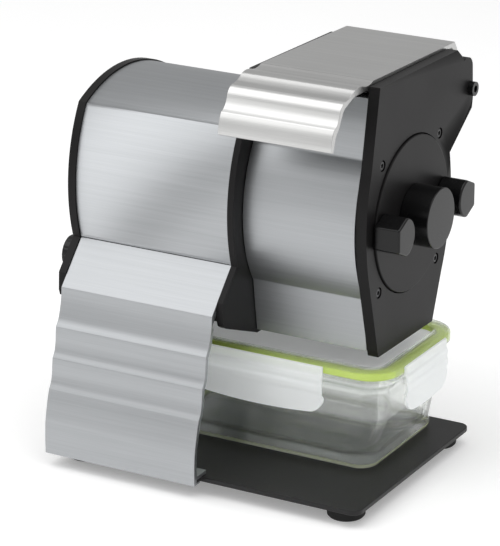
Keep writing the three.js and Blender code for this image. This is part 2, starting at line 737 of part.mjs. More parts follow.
function makeGears() {
  const slow = [SLOW_STAGE.left, SLOW_STAGE.right];
  const fast = [FAST_STAGE.left, FAST_STAGE.right];
  const output = gearOutline(DRUM_AXIS, TEETH.output, IDLER_BEARING);
  addPart("output_gear", acrossMachine(output, ...slow, [circle(DRUM_AXIS, 5.2, 16)]), BRASS);
  const halfStep = 180 / TEETH.idlerPinion;
  const small = gearOutline(IDLER_AXIS, TEETH.idlerPinion, IDLER_BEARING + 180 + halfStep);
  const large = gearOutline(IDLER_AXIS, TEETH.idlerGear, MOTOR_BEARING);
  const compound = join(acrossMachine(large, ...fast), acrossMachine(small, fast[1] - 1, slow[1]));
  const bore = disc(fast[0] - 1, slow[1] + 1, 3.3, IDLER_AXIS, 12);
  addPart("idler_gear", cut(compound, bore), STEEL);
  const motorStep = 180 / TEETH.motorPinion;
  const pinion = gearOutline(MOTOR_AXIS, TEETH.motorPinion, MOTOR_BEARING + 180 + motorStep);
  addPart("motor_pinion", acrossMachine(pinion, ...fast, [circle(MOTOR_AXIS, 3.3, 12)]), BRASS);
}

function makeShafts() {
  addPart("idler_shaft", disc(BULKHEAD.left, 104.6, 3, IDLER_AXIS, 12), STEEL);
  const round = disc(BULKHEAD.left, 112, 4.9, DRUM_AXIS, 16);
  const hex = acrossMachine(hexagon(4.9), 111, 117);
  addPart("drive_shaft", join(round, hex), STEEL);
  const bearing = ring(MIDDLE_PLATE.left, MIDDLE_PLATE.right, 10.9, 5.2, DRUM_AXIS, 20);
  addPart("drive_bearing", bearing, STEEL);
}

// A cast frame: a bulkhead with four pillars that stand on the middle plate.
function makeGearboxFrame() {
  const [front, rear, low, high] = [57, 137, 108, 209];
  const outline = roundedRectangle(front, rear, low, high, 8, 4);
  const { left, right } = BULKHEAD;
  const holes = [
    circle(DRUM_AXIS, 5.2, 16),
    circle(IDLER_AXIS, 3.2, 12),
    circle(MOTOR_AXIS, 8, 16),
  ];
  const plate = acrossMachine(outline, left, right, holes);
  const corners = [[front, low], [rear, low], [rear, high], [front, high]];
  const pillars = corners.map(([y, z]) => {
    const spot = [y + (y === front ? 8 : -8), z + (z === low ? 4.2 : -4.2)];
    return disc(right - 1, MIDDLE_PLATE.left, 4, spot, 12);
  });
  addPart("gearbox_frame", join(plate, ...pillars), STEEL);
}

function makeMotor() {
  const { radius, left, right, wall } = MOTOR;
  const can = [
    [left, 3.4], [left, 9], [left + 3, 9], [left + 3, radius], [right - 4, radius],
    [right - 4, radius - wall], [left + 5, radius - wall], [left + 5, 3.4], [left, 3.4],
  ];
  addPart("motor_can", turned(can, MOTOR_AXIS, 24), BLACK_STEEL);
  addPart("motor_stator", ring(left + 10, right - 10, radius - wall - 0.3, 16, MOTOR_AXIS, 24), COPPER);
  const bell = [
    [right - 3.7, 3.4], [right - 3.7, radius], [right, radius - 2], [right, 7.5],
    [BULKHEAD.left, 7.5], [BULKHEAD.left, 3.4], [right - 3.7, 3.4],
  ];
  addPart("motor_end_bell", turned(bell, MOTOR_AXIS, 24), STEEL);
  addPart("motor_rotor", ring(left + 12, right - 12, 15.4, 3.3, MOTOR_AXIS, 20), STEEL);
  addPart("motor_shaft", disc(left - 2, FAST_STAGE.right + 1, 3, MOTOR_AXIS, 12), STEEL);
}

// ---------- switch ----------

function makeSwitch() {
  const [y, z] = SWITCH_AXIS;
  const { knobRadius, knobEnd, stemRadius } = SWITCH;
  const face = LEFT_PLATE.left - 0.4;
  const knob = [
    [knobEnd, 0], [knobEnd, knobRadius - 1.5], [knobEnd + 1.5, knobRadius], [face, knobRadius],
    [face, stemRadius], [4.5, stemRadius], [4.5, 0],
  ];
  addPart("switch_knob", turned(knob, SWITCH_AXIS, 24), BLACK_PLASTIC);
  const body = block([0, 20], [y - 10, y + 10], [z - 8, z + 8]);
  const bore = disc(-1, 5, stemRadius + 0.4, SWITCH_AXIS, 20);
  addPart("switch_body", cut(body, bore), BLACK_PLASTIC);
}

// ---------- glass box with its lid ----------

// The base of the box is smaller than its rim, and its corners are tighter.
function makeGlassBox() {
  const foot = (grow) => roundedRectangle(43 - grow, 188.4 + grow, 54.4 - grow, 143 + grow, 11 + grow);
  const levels = [
    [foot(-2), BASE.top],
    [foot(0.4), BASE.top + 1.6],
    [foot(1.4), BASE.top + 6],
    [boxOutline(6.6), 64],
    [boxOutline(3.4), 66.6],
    [boxOutline(3.4), BOX.rimTop],
    [boxOutline(8), BOX.rimTop],
    [boxOutline(10), 64],
    [foot(-2.4), BASE.top + 9],
    [foot(-8), BASE.top + 4],
  ];
  addPart("glass_box", stacked(levels), GLASS);
}

// A flat-topped rim hangs a skirt outside the seal, and the middle is sunk.
function makeLid() {
  const top = BOX.lidTop;
  const blank = upward(boxOutline(0), 69.5, top);
  const under = cut(upward(boxOutline(2), 69, top - 2), upward(boxOutline(9), 71.6, top - 1));
  const sunk = upward(boxOutline(11.5), top - 3.6, top + 1);
  addPart("box_lid", cut(blank, under, sunk), FROSTED);
  const seal = upward(boxOutline(3), BOX.rimTop, top - 2.2, [boxOutline(8.2).reverse()]);
  addPart("lid_gasket", seal, LIME_SEAL);
}

// A clip is drawn lying along X with its hinge line at the top, then turned to its side.
function clipGeometry(half) {
  const { height, thickness } = CLIP;
  const bottom = arcThrough([-half + 5, 8], [0, 0], [half - 5, 8], 10);
  const outline = [[-half, height], [-half, 11.5], ...bottom, [half, 11.5], [half, height]];
  const plate = upward(outline, 0, thickness);
  const hookTop = height - 11.2;
  const hook = block([-half + 8, half - 8], [hookTop - 3, hookTop], [-5.2, 0.2]);
  const ridge = block([-half + 3, half - 3], [hookTop - 4, hookTop - 2], [thickness - 0.2, thickness + 0.9]);
  return join(plate, hook, ridge).translate(0, -height, CLIP.gap);
}

function makeClips() {
  const midX = (BOX.left + BOX.right) / 2;
  const midY = (BOX.front + BOX.rear) / 2;
  const sides = [
    ["clip_front", CLIP.longHalf, midX, BOX.front, 0],
    ["clip_right", CLIP.shortHalf, BOX.right, midY, 90],
    ["clip_rear", CLIP.longHalf, midX, BOX.rear, 180],
    ["clip_left", CLIP.shortHalf, BOX.left, midY, 270],
  ];
  sides.forEach(([name, half, x, y, degrees]) => {
    const geometry = clipGeometry(half);
    geometry.rotateX(Math.PI / 2);
    geometry.rotateZ(THREE.MathUtils.degToRad(degrees));
    addPart(name, geometry.translate(x, y, BOX.lidTop - 0.5), FROSTED);
  });
}

// ---------- assembly ----------

makeBase();
makeFeet();
makeFrontLeg();
makeRearLeg();
makePlates();
makeRightPlate();
makeMotorShell();
makeGland();
makeBottomCover();
makeGraterShells();
makeHopperWalls();
makeTieRods();
makeCoverScrews();
makeHingePin();
makeLever();
makePusher();
makeSpindle();
makeCover();
makeGrip();
makeDrum();
makeGears();
makeShafts();
makeGearboxFrame();
makeMotor();
makeSwitch();
makeGlassBox();
makeLid();
makeClips();

const extent = new THREE.Box3().setFromObject(machine);
const middle = extent.getCenter(new THREE.Vector3());
machine.position.set(-middle.x, -middle.y, -extent.min.z);

const grater = new THREE.Group();
grater.add(machine);

export default grater;
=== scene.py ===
# %% [markdown]
# # Electric rotary cheese grater
# The grater is three charcoal plates on a steel base, with brushed aluminium skins bent between
# them: a motor housing on the left and a grating unit on the right. A lever on top presses the
# cheese onto a toothed drum, and the gratings fall into a glass box with a clip lid.
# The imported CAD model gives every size, body and joint. Here each part gets its finished surface.

# %% Load the frame
import math

import bmesh
import bpy
from mathutils import Matrix, Vector


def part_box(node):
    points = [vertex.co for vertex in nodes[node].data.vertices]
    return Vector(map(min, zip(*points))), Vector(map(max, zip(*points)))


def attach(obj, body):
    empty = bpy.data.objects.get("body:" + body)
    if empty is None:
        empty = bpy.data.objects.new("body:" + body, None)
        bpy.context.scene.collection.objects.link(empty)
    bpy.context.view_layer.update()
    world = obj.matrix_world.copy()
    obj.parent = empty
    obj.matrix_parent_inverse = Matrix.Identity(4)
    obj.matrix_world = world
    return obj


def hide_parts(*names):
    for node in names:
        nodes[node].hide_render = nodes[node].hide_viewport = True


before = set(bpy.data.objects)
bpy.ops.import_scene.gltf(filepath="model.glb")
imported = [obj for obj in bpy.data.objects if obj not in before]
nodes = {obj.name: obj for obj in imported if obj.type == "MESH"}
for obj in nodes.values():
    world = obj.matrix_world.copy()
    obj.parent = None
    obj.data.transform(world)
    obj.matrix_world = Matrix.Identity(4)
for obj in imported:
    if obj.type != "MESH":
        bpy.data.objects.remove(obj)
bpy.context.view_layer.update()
print("nodes loaded:", len(nodes))

# %% [markdown]
# ## The machine's own datums
# A drawing of this machine is easiest to read in millimetres from three faces: X from the inner
# face of the left side plate, Y from the front edge of the base plate and Z from the table. The
# frame's own boxes say where those faces are, so the two can never drift apart.

# %% Datums and sizes
MM = 0.001
TONGUE = 5.1
DATUM = Vector((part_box("left_side_plate")[1].x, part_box("base_plate")[0].y + TONGUE * MM, 0))


def at(x, y, z):
    """A point given in millimetres from the machine's datums, in the frame's metres."""
    return DATUM + Vector((x, y, z)) * MM


def span(node):
    """The two corners of a CAD node's box, in millimetres from the datums."""
    low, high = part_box(node)
    return (low - DATUM) / MM, (high - DATUM) / MM


def middle_of(node):
    """The Y and Z of the middle of a CAD node, which is the axis of a turned part."""
    low, high = span(node)
    return (low.y + high.y) / 2, (low.z + high.z) / 2


LEFT_PLATE = [corner.x for corner in span("left_side_plate")]
MIDDLE_PLATE = [corner.x for corner in span("middle_plate")]
RIGHT_PLATE = [corner.x for corner in span("right_side_plate")]
HOUSING = [corner.x for corner in span("motor_shell")]
CHAMBER = [corner.x for corner in span("grater_front_shell")]
DRUM_AXIS = middle_of("grating_drum")
HINGE_AXIS = middle_of("hinge_pin")
SWITCH_AXIS = middle_of("switch_knob")
CORNERS = ("front_top", "rear_top", "rear_bottom", "front_bottom")
ROD_AXES = [middle_of("tie_rod_" + corner) for corner in CORNERS]
SCREW_AXES = [middle_of("cover_screw_" + corner) for corner in CORNERS]
print("drum axis:", [round(v, 1) for v in DRUM_AXIS], "hinge:", [round(v, 1) for v in HINGE_AXIS])

# %% [markdown]
# ## Camera, floor and light
# A long lens from the front right, a little above, keeps the sides nearly parallel as a
# catalogue picture does. The floor is plain and pale. Metal shows what it mirrors, so the broad
# key light hangs where the sloping faces see it, high on the left and in front. A low light in
# front, a weak one on the right and one overhead soften it, and a pale world does the rest.

# %% Camera
camera_data = bpy.data.cameras.new("camera")
camera_data.sensor_width = 36
camera_data.lens = 203.5
camera_data.clip_start = 0.1
camera_data.clip_end = 50
camera = bpy.data.objects.new("camera", camera_data)
camera.location = at(952.1, -1449.5, 753.4)
aim = at(93.3, 79.4, 113.1)
camera.rotation_euler = (aim - camera.location).to_track_quat("-Z", "Y").to_euler()
bpy.context.scene.collection.objects.link(camera)
bpy.context.scene.camera = camera
print("camera distance:", round((aim - camera.location).length, 3), "m")

# %% Floor, lights and world
FLOOR_HALF = 6.0
bm = bmesh.new()
bmesh.ops.create_grid(bm, x_segments=1, y_segments=1, size=FLOOR_HALF)
floor_mesh = bpy.data.meshes.new("floor")
bm.to_mesh(floor_mesh)
bm.free()
floor = bpy.data.objects.new("floor", floor_mesh)
bpy.context.scene.collection.objects.link(floor)


def soft_light(name, place, target, size, power):
    """A square soft box at one point, turned to face another."""
    data = bpy.data.lights.new(name, "AREA")
    data.shape = "SQUARE"
    data.size = size
    data.energy = power
    lamp = bpy.data.objects.new(name, data)
    lamp.location = place
    lamp.rotation_euler = (target - place).to_track_quat("-Z", "Y").to_euler()
    bpy.context.scene.collection.objects.link(lamp)
    return lamp


heart = at(100, 80, 120)
soft_light("key_light", at(-730, -500, 1600), heart, 1.8, 14)
soft_light("front_light", at(-900, -1500, 420), heart, 1.4, 2)
soft_light("right_light", at(1700, 100, 500), heart, 1.0, 1.5)
soft_light("top_light", at(500, 0, 1900), heart, 1.6, 11)

world = bpy.data.worlds.new("studio")
world.use_nodes = True
world.node_tree.nodes["Background"].inputs["Color"].default_value = (1.0, 1.0, 1.0, 1)
world.node_tree.nodes["Background"].inputs["Strength"].default_value = 0.5
bpy.context.scene.world = world
bpy.context.scene.view_settings.view_transform = "Standard"

# %% [markdown]
# ## Writing shader sums as plain arithmetic
# Finishes are built from a few patterns that are scaled, mixed and added. Wrapping a node's
# socket in a small class lets those sums be written as Python, and each sum adds its own node.

# %% Shader arithmetic


class Value:
    """A socket in a finish's node tree that can be used in ordinary sums."""

    def __init__(self, finish, socket):
        self.finish = finish
        self.socket = socket

    def sum(self, operation, first, second):
        return self.finish.node("ShaderNodeMath", {"operation": operation}, {0: first, 1: second})

    def __add__(self, other):
        return self.sum("ADD", self, other)

    def __radd__(self, other):
        return self.sum("ADD", other, self)

    def __sub__(self, other):
        return self.sum("SUBTRACT", self, other)

    def __rsub__(self, other):
        return self.sum("SUBTRACT", other, self)

    def __mul__(self, other):
        return self.sum("MULTIPLY", self, other)

    def __rmul__(self, other):
        return self.sum("MULTIPLY", other, self)

    def clamped(self, low=0.0, high=1.0):
        return self.sum("MINIMUM", self.sum("MAXIMUM", self, low), high)


class Finish:
    """One material: node() adds any node, and done() sets the surface shader's own sockets."""

    def __init__(self, name):
        self.material = bpy.data.materials.new(name)
        self.material.use_nodes = True
        self.tree = self.material.node_tree
        self.shader = self.tree.nodes["Principled BSDF"]
        self.place = self.node("ShaderNodeTexCoord", output="Object")

    def feed(self, socket, value):
        if isinstance(value, Value):
            self.tree.links.new(value.socket, socket)
        else:
            socket.default_value = value

    def node(self, kind, settings=None, inputs=None, output=0):
        made = self.tree.nodes.new(kind)
        for name, value in (settings or {}).items():
            setattr(made, name, value)
        for name, value in (inputs or {}).items():
            self.feed(made.inputs[name], value)
        return Value(self, made.outputs[output])

    def stretched(self, x, y, z):
        """The piece's own coordinates, with each axis scaled."""
        return self.node("ShaderNodeMapping", None, {"Vector": self.place, "Scale": (x, y, z)})

    def noise(self, scale, detail=3.0, roughness=0.5, where=None):
        vector = where or self.place
        sizes = {"Vector": vector, "Scale": scale, "Detail": detail, "Roughness": roughness}
        return self.node("ShaderNodeTexNoise", None, sizes)

    def shades(self, factor, dark, light):
        """A colour between two others."""
        inputs = {"Factor": factor, 6: (*dark, 1), 7: (*light, 1)}
        return self.node("ShaderNodeMix", {"data_type": "RGBA"}, inputs, output=2)

    def bump(self, height, depth, strength=1.0):
        """A surface normal tilted by a height pattern; depth is in metres."""
        return self.node("ShaderNodeBump", None, {"Strength": strength, "Distance": depth, "Height": height})

    def done(self, **sockets):
        for name, value in sockets.items():
            self.feed(self.shader.inputs[name.replace("_", " ")], value)
        return self.material

    def shown(self, surface):
        """Sends a mixed shader, and not the surface shader alone, to the output."""
        self.feed(self.tree.nodes["Material Output"].inputs["Surface"], surface)
        return self.material


print("shader helpers ready")

# %% [markdown]
# ## Brushed aluminium
# The skins, legs and lever are aluminium drawn along a belt, which leaves fine scratches that run
# the machine's whole width. Noise squeezed hard in Y and Z and drawn out in X gives such lines on
# any bend of the sheet. A second, wider band of noise gives the slow streaks that show between
# them, and both also move the roughness, which is what makes the metal look brushed in soft light.

# %% Brushed aluminium finish


def brushed(name, dark, light, rough, depth=0.000012):
    f = Finish(name)
    scratches = f.noise(1.0, 4.0, 0.7, f.stretched(22, 2600, 2600))
    streaks = f.noise(1.0, 3.0, 0.6, f.stretched(6, 420, 420))
    smudge = f.noise(14, 2.0)
    tone = (scratches * 0.45 + streaks * 0.4 + smudge * 0.15).clamped()
    return f.done(
        Base_Color=f.shades(tone, dark, light),
        Metallic=1.0,
        Roughness=(tone - 0.5) * 0.22 + rough,
        Normal=f.bump(scratches * 0.7 + streaks * 0.3, depth, 0.5),
    )


ALUMINIUM = brushed("brushed_aluminium", (0.3, 0.31, 0.32), (0.56, 0.575, 0.59), 0.41)
# The lever's finish is the same aluminium painted lighter: a painted lit copy that keeps its upward face
# bright.
LIT_LEVER_ALUMINIUM = brushed("lit_lever_aluminium", (0.43, 0.43, 0.425), (0.78, 0.78, 0.77), 0.33)
print("finish:", ALUMINIUM.name, LIT_LEVER_ALUMINIUM.name)

# %% [markdown]
# ## Painted and moulded blacks
# The three plates have a dry, finely pebbled charcoal surface. The base is smoother black powder
# coat. The grips and knob are moulded with a faint orange peel. Each is one family: a pebble or
# ripple of noise in the bump, the same pattern in the roughness, and a slow change of tone.

# %% Black finishes


def pebbled(name, dark, light, rough, grain, depth, gloss=0.3, spread=0.12):
    f = Finish(name)
    pebbles = f.noise(grain, 2.0, 0.55)
    drift = f.noise(24, 3.0)
    tone = (pebbles * 0.6 + drift * 0.4).clamped()
    return f.done(
        Base_Color=f.shades(tone, dark, light),
        Roughness=(drift - 0.5) * spread + (pebbles - 0.5) * spread + rough,
        Specular_IOR_Level=gloss,
        Normal=f.bump(pebbles, depth, 0.6),
    )


CHARCOAL = pebbled(
    "charcoal_plate", (0.004, 0.0038, 0.004), (0.014, 0.0132, 0.0136), 0.42, 1900, 0.00004, 0.17,
)
POWDER_BLACK = pebbled("powder_black", (0.008, 0.0078, 0.008), (0.018, 0.0175, 0.0178), 0.42, 1500, 0.00002)
MOULDED_BLACK = pebbled(
    "moulded_black", (0.0025, 0.0025, 0.0027), (0.007, 0.007, 0.0073), 0.24, 700, 0.00001, 0.32,
)
RUBBER = pebbled("foot_rubber", (0.01, 0.01, 0.01), (0.022, 0.022, 0.022), 0.75, 1200, 0.00003)
print("finish:", CHARCOAL.name, POWDER_BLACK.name, MOULDED_BLACK.name, RUBBER.name)

# %% [markdown]
# ## Metals inside the machine
# Motor, gears and shafts are steel, cast metal, brass and copper. They are mostly hidden, so one
# recipe serves: a base tone, a grain of noise and some spread in the roughness. The tie rods and
# the hinge pin are given a darker steel.

# %% Steel, cast metal, brass and copper


def worked_metal(name, dark, light, rough, grain, depth):
    f = Finish(name)
    grainy = f.noise(grain, 4.0, 0.6)
    cloudy = f.noise(30, 2.0)
    tone = (grainy * 0.6 + cloudy * 0.4).clamped()
    return f.done(
        Base_Color=f.shades(tone, dark, light),
        Metallic=1.0,
        Roughness=(tone - 0.5) * 0.3 + rough,
        Normal=f.bump(grainy, depth, 0.5),
    )


STEEL = worked_metal("bright_steel", (0.4, 0.4, 0.41), (0.68, 0.68, 0.69), 0.28, 900, 0.00001)
CAST = worked_metal("cast_metal", (0.24, 0.24, 0.25), (0.42, 0.42, 0.43), 0.55, 700, 0.00005)
BRASS = worked_metal("brass", (0.5, 0.33, 0.12), (0.75, 0.55, 0.25), 0.3, 800, 0.00001)
DARK_STEEL = worked_metal("dark_steel", (0.03, 0.03, 0.031), (0.09, 0.09, 0.092), 0.3, 900, 0.00001)
COPPER = worked_metal("copper_windings", (0.28, 0.09, 0.04), (0.55, 0.23, 0.12), 0.45, 500, 0.0001)
print("finish:", STEEL.name, CAST.name, BRASS.name, DARK_STEEL.name, COPPER.name)

# %% [markdown]
# ## Glass, frosted lid, seal and nylon
# The box is clear pressed glass that looks green along its thick lower edge. A renderer's solid
# glass keeps light out of what is behind it, so part of the light is let straight through, and
# more of it is bent where the surface is seen edge on. The lid and clips are milky polypropylene
# that light soaks into: they pass some light and blur it. A faint painted glow on the lid, clips
# and seal stands for the light that soaks through and lifts them where they lie in shade. The seal
# is lime green silicone, and the drum's ends are natural nylon.

# %% Clear and milky finishes
EDGE_BOTTOM, EDGE_TOP = 0.0122, 0.0155


def part_clear(f, glass_share, tint):
    """Shows a finish as clear: part of the light goes straight through, and the rest is bent."""
    straight = f.node("ShaderNodeBsdfTransparent", None, {0: (*tint, 1)})
    edge_on = f.node("ShaderNodeLayerWeight", None, {"Blend": 0.3}, output=1)
    factor = (edge_on * (1 - glass_share) + glass_share).clamped()
    bent = Value(f, f.shader.outputs[0])
    return f.node("ShaderNodeMixShader", None, {0: factor, 1: straight, 2: bent})


def clear_glass():
    f = Finish("clear_glass")
    ripple = f.noise(45, 2.0)
    height = f.node("ShaderNodeSeparateXYZ", None, {0: f.place}, output=2)
    thick = ((EDGE_TOP - height) * 900).clamped() * ((height - EDGE_BOTTOM) * 6000).clamped()
    f.done(
        Base_Color=f.shades(ripple, (0.93, 0.95, 0.93), (0.98, 0.99, 0.985)),
        Roughness=ripple * 0.03,
        IOR=1.4,
        Transmission_Weight=1.0,
        Normal=f.bump(ripple, 0.0004, 0.25),
    )
    body = part_clear(f, 0.38, (0.97, 0.98, 0.97))
    green = f.node("ShaderNodeBsdfDiffuse", None, {0: (0.62, 0.66, 0.38, 1)})
    both = f.node("ShaderNodeMixShader", None, {0: thick * 0.6, 1: body, 2: green})
    return f.shown(both)


def clear_rim():
    f = Finish("lid_rim")
    cloud = f.noise(60, 3.0)
    f.done(
        Base_Color=f.shades(cloud, (0.93, 0.95, 0.9), (0.98, 0.99, 0.97)),
        Roughness=cloud * 0.1 + 0.08,
        IOR=1.35,
        Transmission_Weight=0.85,
        Normal=f.bump(cloud, 0.0001, 0.3),
    )
    return f.shown(part_clear(f, 0.25, (0.97, 0.99, 0.95)))


def milky(name, dark, light, rough, through, painted_glow=0.0):
    f = Finish(name)
    cloud = f.noise(60, 4.0, 0.6)
    grain = f.noise(1400, 2.0)
    return f.done(
        Base_Color=f.shades(cloud, dark, light),
        # The emission is a painted glow: it brightens the piece by the same amount in light and in shade.
        Emission_Color=f.shades(cloud, dark, light),
        Emission_Strength=painted_glow,
        Roughness=(grain - 0.5) * 0.1 + rough,
        IOR=1.49,
        Transmission_Weight=through,
        Normal=f.bump(grain, 0.00002, 0.5),
    )


GLASS = clear_glass()
FROSTED = milky("frosted_lid", (0.84, 0.85, 0.85), (0.93, 0.94, 0.94), 0.42, 0.3, 0.13)
RIM_CLEAR = clear_rim()
CLIP_MILK = milky("clip_milk", (0.84, 0.86, 0.86), (0.93, 0.945, 0.945), 0.35, 0.45, 0.12)
LIME = milky("lime_seal", (0.6, 0.76, 0.1), (0.72, 0.86, 0.16), 0.4, 0.05, 0.1)
NYLON = milky("natural_nylon", (0.66, 0.64, 0.56), (0.78, 0.76, 0.68), 0.42, 0.1)


def pale_floor():
    f = Finish("pale_floor")
    cloud = f.noise(3, 2.0)
    return f.done(
        Base_Color=f.shades(cloud, (0.86, 0.86, 0.86), (0.9, 0.9, 0.9)), Roughness=0.9,
        Emission_Color=(1, 1, 1, 1), Emission_Strength=0.26,
    )


floor.data.materials.append(pale_floor())
print("finish:", [m.name for m in (GLASS, FROSTED, RIM_CLEAR, CLIP_MILK, LIME, NYLON)])

# %% [markdown]
# ## Tools of the workshop
# Nearly every part is either a flat outline drawn out along X, like an extrusion or a cut plate,
# or a profile turned about an axis along X, like a knob or a screw. Two helpers make those from a
# few points with bmesh's extrude and spin, a third cuts or joins shapes, and a last one rounds
# the edges with a Bevel modifier and hands the piece to its body.

# %% Lines and arcs


def arc(start, through, end, steps):
    """Points on the circle through three points, from the first to the last."""
    (ax, ay), (bx, by), (cx, cy) = start, through, end
    d = 2 * (ax * (by - cy) + bx * (cy - ay) + cx * (ay - by))
    a2, b2, c2 = ax * ax + ay * ay, bx * bx + by * by, cx * cx + cy * cy
    x = (a2 * (by - cy) + b2 * (cy - ay) + c2 * (ay - by)) / d
    y = (a2 * (cx - bx) + b2 * (ax - cx) + c2 * (bx - ax)) / d
    radius = math.hypot(ax - x, ay - y)
    begin = math.atan2(ay - y, ax - x)
    passing = (math.atan2(by - y, bx - x) - begin) % math.tau
    sweep = (math.atan2(cy - y, cx - x) - begin) % math.tau
    if passing > sweep:
        sweep -= math.tau
    angles = [begin + sweep * i / steps for i in range(steps + 1)]
    return [(x + radius * math.cos(a), y + radius * math.sin(a)) for a in angles]


def beside(points, distance):
    """An open line moved sideways, to its left when the distance is positive."""
    vectors = [Vector(p) for p in points]
    normals = [(b - a).orthogonal().normalized() for a, b in zip(vectors, vectors[1:])]
    moved = []
    for i, point in enumerate(vectors):
        before = normals[max(i - 1, 0)]
        after = normals[min(i, len(normals) - 1)]
        moved.append(tuple(point + (before + after) * distance / (1 + before.dot(after))))
    return moved


def smooth_line(points, steps):
    """A Catmull-Rom curve through the points, with a number of steps between each two."""
    ends = [Vector(points[0]) * 2 - Vector(points[1]), Vector(points[-1]) * 2 - Vector(points[-2])]
    knots = [ends[0], *[Vector(p) for p in points], ends[1]]
    line = []
    for a, b, c, d in zip(knots, knots[1:], knots[2:], knots[3:]):
        for i in range(steps):
            t = i / steps
            line.append(tuple(
                (b * 2 + (c - a) * t + (a * 2 - b * 5 + c * 4 - d) * t * t
                 + (b * 3 - a - c * 3 + d) * t ** 3) / 2
            ))
    return [*line, tuple(points[-1])]


def sheet(points, thickness):
    """The outline of a bent sheet that has the given line as one of its faces."""
    return [*points, *reversed(beside(points, thickness))]


print("arc check:", [round(v, 1) for v in arc((0, 0), (1, 1), (2, 0), 2)[1]])

# %% Extruded and turned solids


def on_circle(centre, radius, angle):
    """A point on a circle, from its angle in radians."""
    return (centre[0] + radius * math.cos(angle), centre[1] + radius * math.sin(angle))


def pulled(corners, shift, bm=None):
    """A flat face through the corners, extruded by a shift in millimetres."""
    bm = bm or bmesh.new()
    before = set(bm.verts)
    face = bm.faces.new([bm.verts.new(corner) for corner in corners])
    grown = bmesh.ops.extrude_face_region(bm, geom=[face])["geom"]
    far = [v for v in grown if isinstance(v, bmesh.types.BMVert)]
    bmesh.ops.translate(bm, vec=Vector(shift) * MM, verts=far)
    new_faces = {f for v in bm.verts if v not in before for f in v.link_faces}
    bmesh.ops.recalc_face_normals(bm, faces=list(new_faces))
    return bm


def drawn_out(outline, left, right, bm=None):
    """A side outline in Y and Z, extruded along X."""
    return pulled([at(left, y, z) for y, z in outline], (right - left, 0, 0), bm)


def raised(outline, bottom, top, bm=None):
    """A plan outline in X and Y, extruded upwards."""
    return pulled([at(x, y, bottom) for x, y in outline], (0, 0, top - bottom), bm)


def turned(profile, centre, steps=64, bm=None, axis="X"):
    """A profile of (place along the axis, radius) points spun about an axis along X, Y or Z."""
    place = {
        "X": lambda along, radius: at(along, centre[0], centre[1] + radius),
        "Y": lambda along, radius: at(centre[0], along, centre[1] + radius),
        "Z": lambda along, radius: at(centre[0] + radius, centre[1], along),
    }[axis]
    direction = {"X": (1, 0, 0), "Y": (0, 1, 0), "Z": (0, 0, 1)}[axis]
    bm = bm or bmesh.new()
    before = set(bm.verts)
    line = [bm.verts.new(place(along, radius)) for along, radius in profile]
    edges = [bm.edges.new(pair) for pair in zip(line, line[1:])]
    bmesh.ops.spin(
        bm, geom=line + edges, cent=place(0, 0), axis=direction, dvec=(0, 0, 0),
        angle=math.tau, steps=steps, use_merge=True,
    )
    new_verts = [v for v in bm.verts if v not in before]
    bmesh.ops.remove_doubles(bm, verts=new_verts, dist=MM / 1000)
    new_faces = {f for v in bm.verts if v not in before for f in v.link_faces}
    bmesh.ops.recalc_face_normals(bm, faces=list(new_faces))
    return bm


def rod(left, right, radius, centre, steps=32, bm=None):
    return turned([(left, 0), (left, radius), (right, radius), (right, 0)], centre, steps, bm)


print("solids helpers ready")

# %% Objects, cuts and the last touches


def as_object(bm, name):
    mesh = bpy.data.meshes.new(name)
    bm.to_mesh(mesh)
    bm.free()
    obj = bpy.data.objects.new(name, mesh)
    bpy.context.scene.collection.objects.link(obj)
    return obj


def carve(obj, cutter_bm, operation="DIFFERENCE"):
    """Cuts a shape out of a piece, or joins one to it, and keeps the result as plain mesh."""
    cutter = as_object(cutter_bm, obj.name + "_tool")
    step = obj.modifiers.new("step", "BOOLEAN")
    step.operation = operation
    step.solver = "EXACT"
    step.object = cutter
    depsgraph = bpy.context.evaluated_depsgraph_get()
    result = bpy.data.meshes.new_from_object(obj.evaluated_get(depsgraph))
    obj.modifiers.clear()
    old = obj.data
    obj.data = result
    bpy.data.meshes.remove(old)
    bpy.data.objects.remove(cutter)
    return obj


def complete(obj, body, material, stands_for, bevel=0.4, segments=3, angle=32):
    """Rounds a piece's edges, gives it its finish and hands it to its body."""
    obj.data.materials.clear()
    obj.data.materials.append(material)
    for polygon in obj.data.polygons:
        polygon.use_smooth = True
        polygon.material_index = 0
    if bevel:
        edge = obj.modifiers.new("edge", "BEVEL")
        edge.width = bevel * MM
        edge.segments = segments
        edge.limit_method = "ANGLE"
        edge.angle_limit = math.radians(angle)
        edge.use_clamp_overlap = True
    even = obj.modifiers.new("even", "WEIGHTED_NORMAL")
    even.keep_sharp = True
    even.weight = 80
    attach(obj, body)
    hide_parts(*stands_for)
    print("made", obj.name, "faces:", len(obj.data.polygons))
    return obj


# %% [markdown]
# ## Side plates
# Three plates carry everything. Seen from the side, the left one follows the motor housing, the
# right one follows the grating unit, and the middle one has to follow both. Each is a flat outline
# drawn out to the plate's thickness, with its holes cut through and its edges rounded.

# %% Outlines shared by the plates and skins
HOUSING_START = (36.6, 133.8)
HOUSING_END = (152, 118)
ARC_STEPS = 40
front_arc = arc(HOUSING_START, (32, 167), (45.7, 215.5), ARC_STEPS)
top_arc = arc((45.7, 215.5), (91, 227.2), (150.5, 208.5), ARC_STEPS)
rear_arc = arc((150.5, 208.5), (161, 163), HOUSING_END, ARC_STEPS)
housing_line = front_arc + top_arc[1:] + rear_arc[1:]
PLATE_PROUD = 1
plate_rim = beside(housing_line, PLATE_PROUD)
if plate_rim[0][0] > housing_line[0][0]:
    plate_rim = beside(housing_line, -PLATE_PROUD)
LOWER_FRONT = [(60.3, 84), (23.5, 98.6), (19.6, 101), (18.4, 104.5), (19, 115.7)]
LOWER_REAR = (140, 83.5)
EAR = [
    (159.5, 246.5), (165.5, 241.6), (168.9, 237.4), (171, 238.2),
    *arc((174, 238.3), (179.3, 236), (181.2, 231), 8), (182.4, 211), (181.3, 205.2),
]
UNIT_FRONT_TOP = (57.8, 249.4)
print("housing line points:", len(housing_line))

# %% Left side plate
SCREW_HOLE, KNOB_HOLE = 2.1, 4


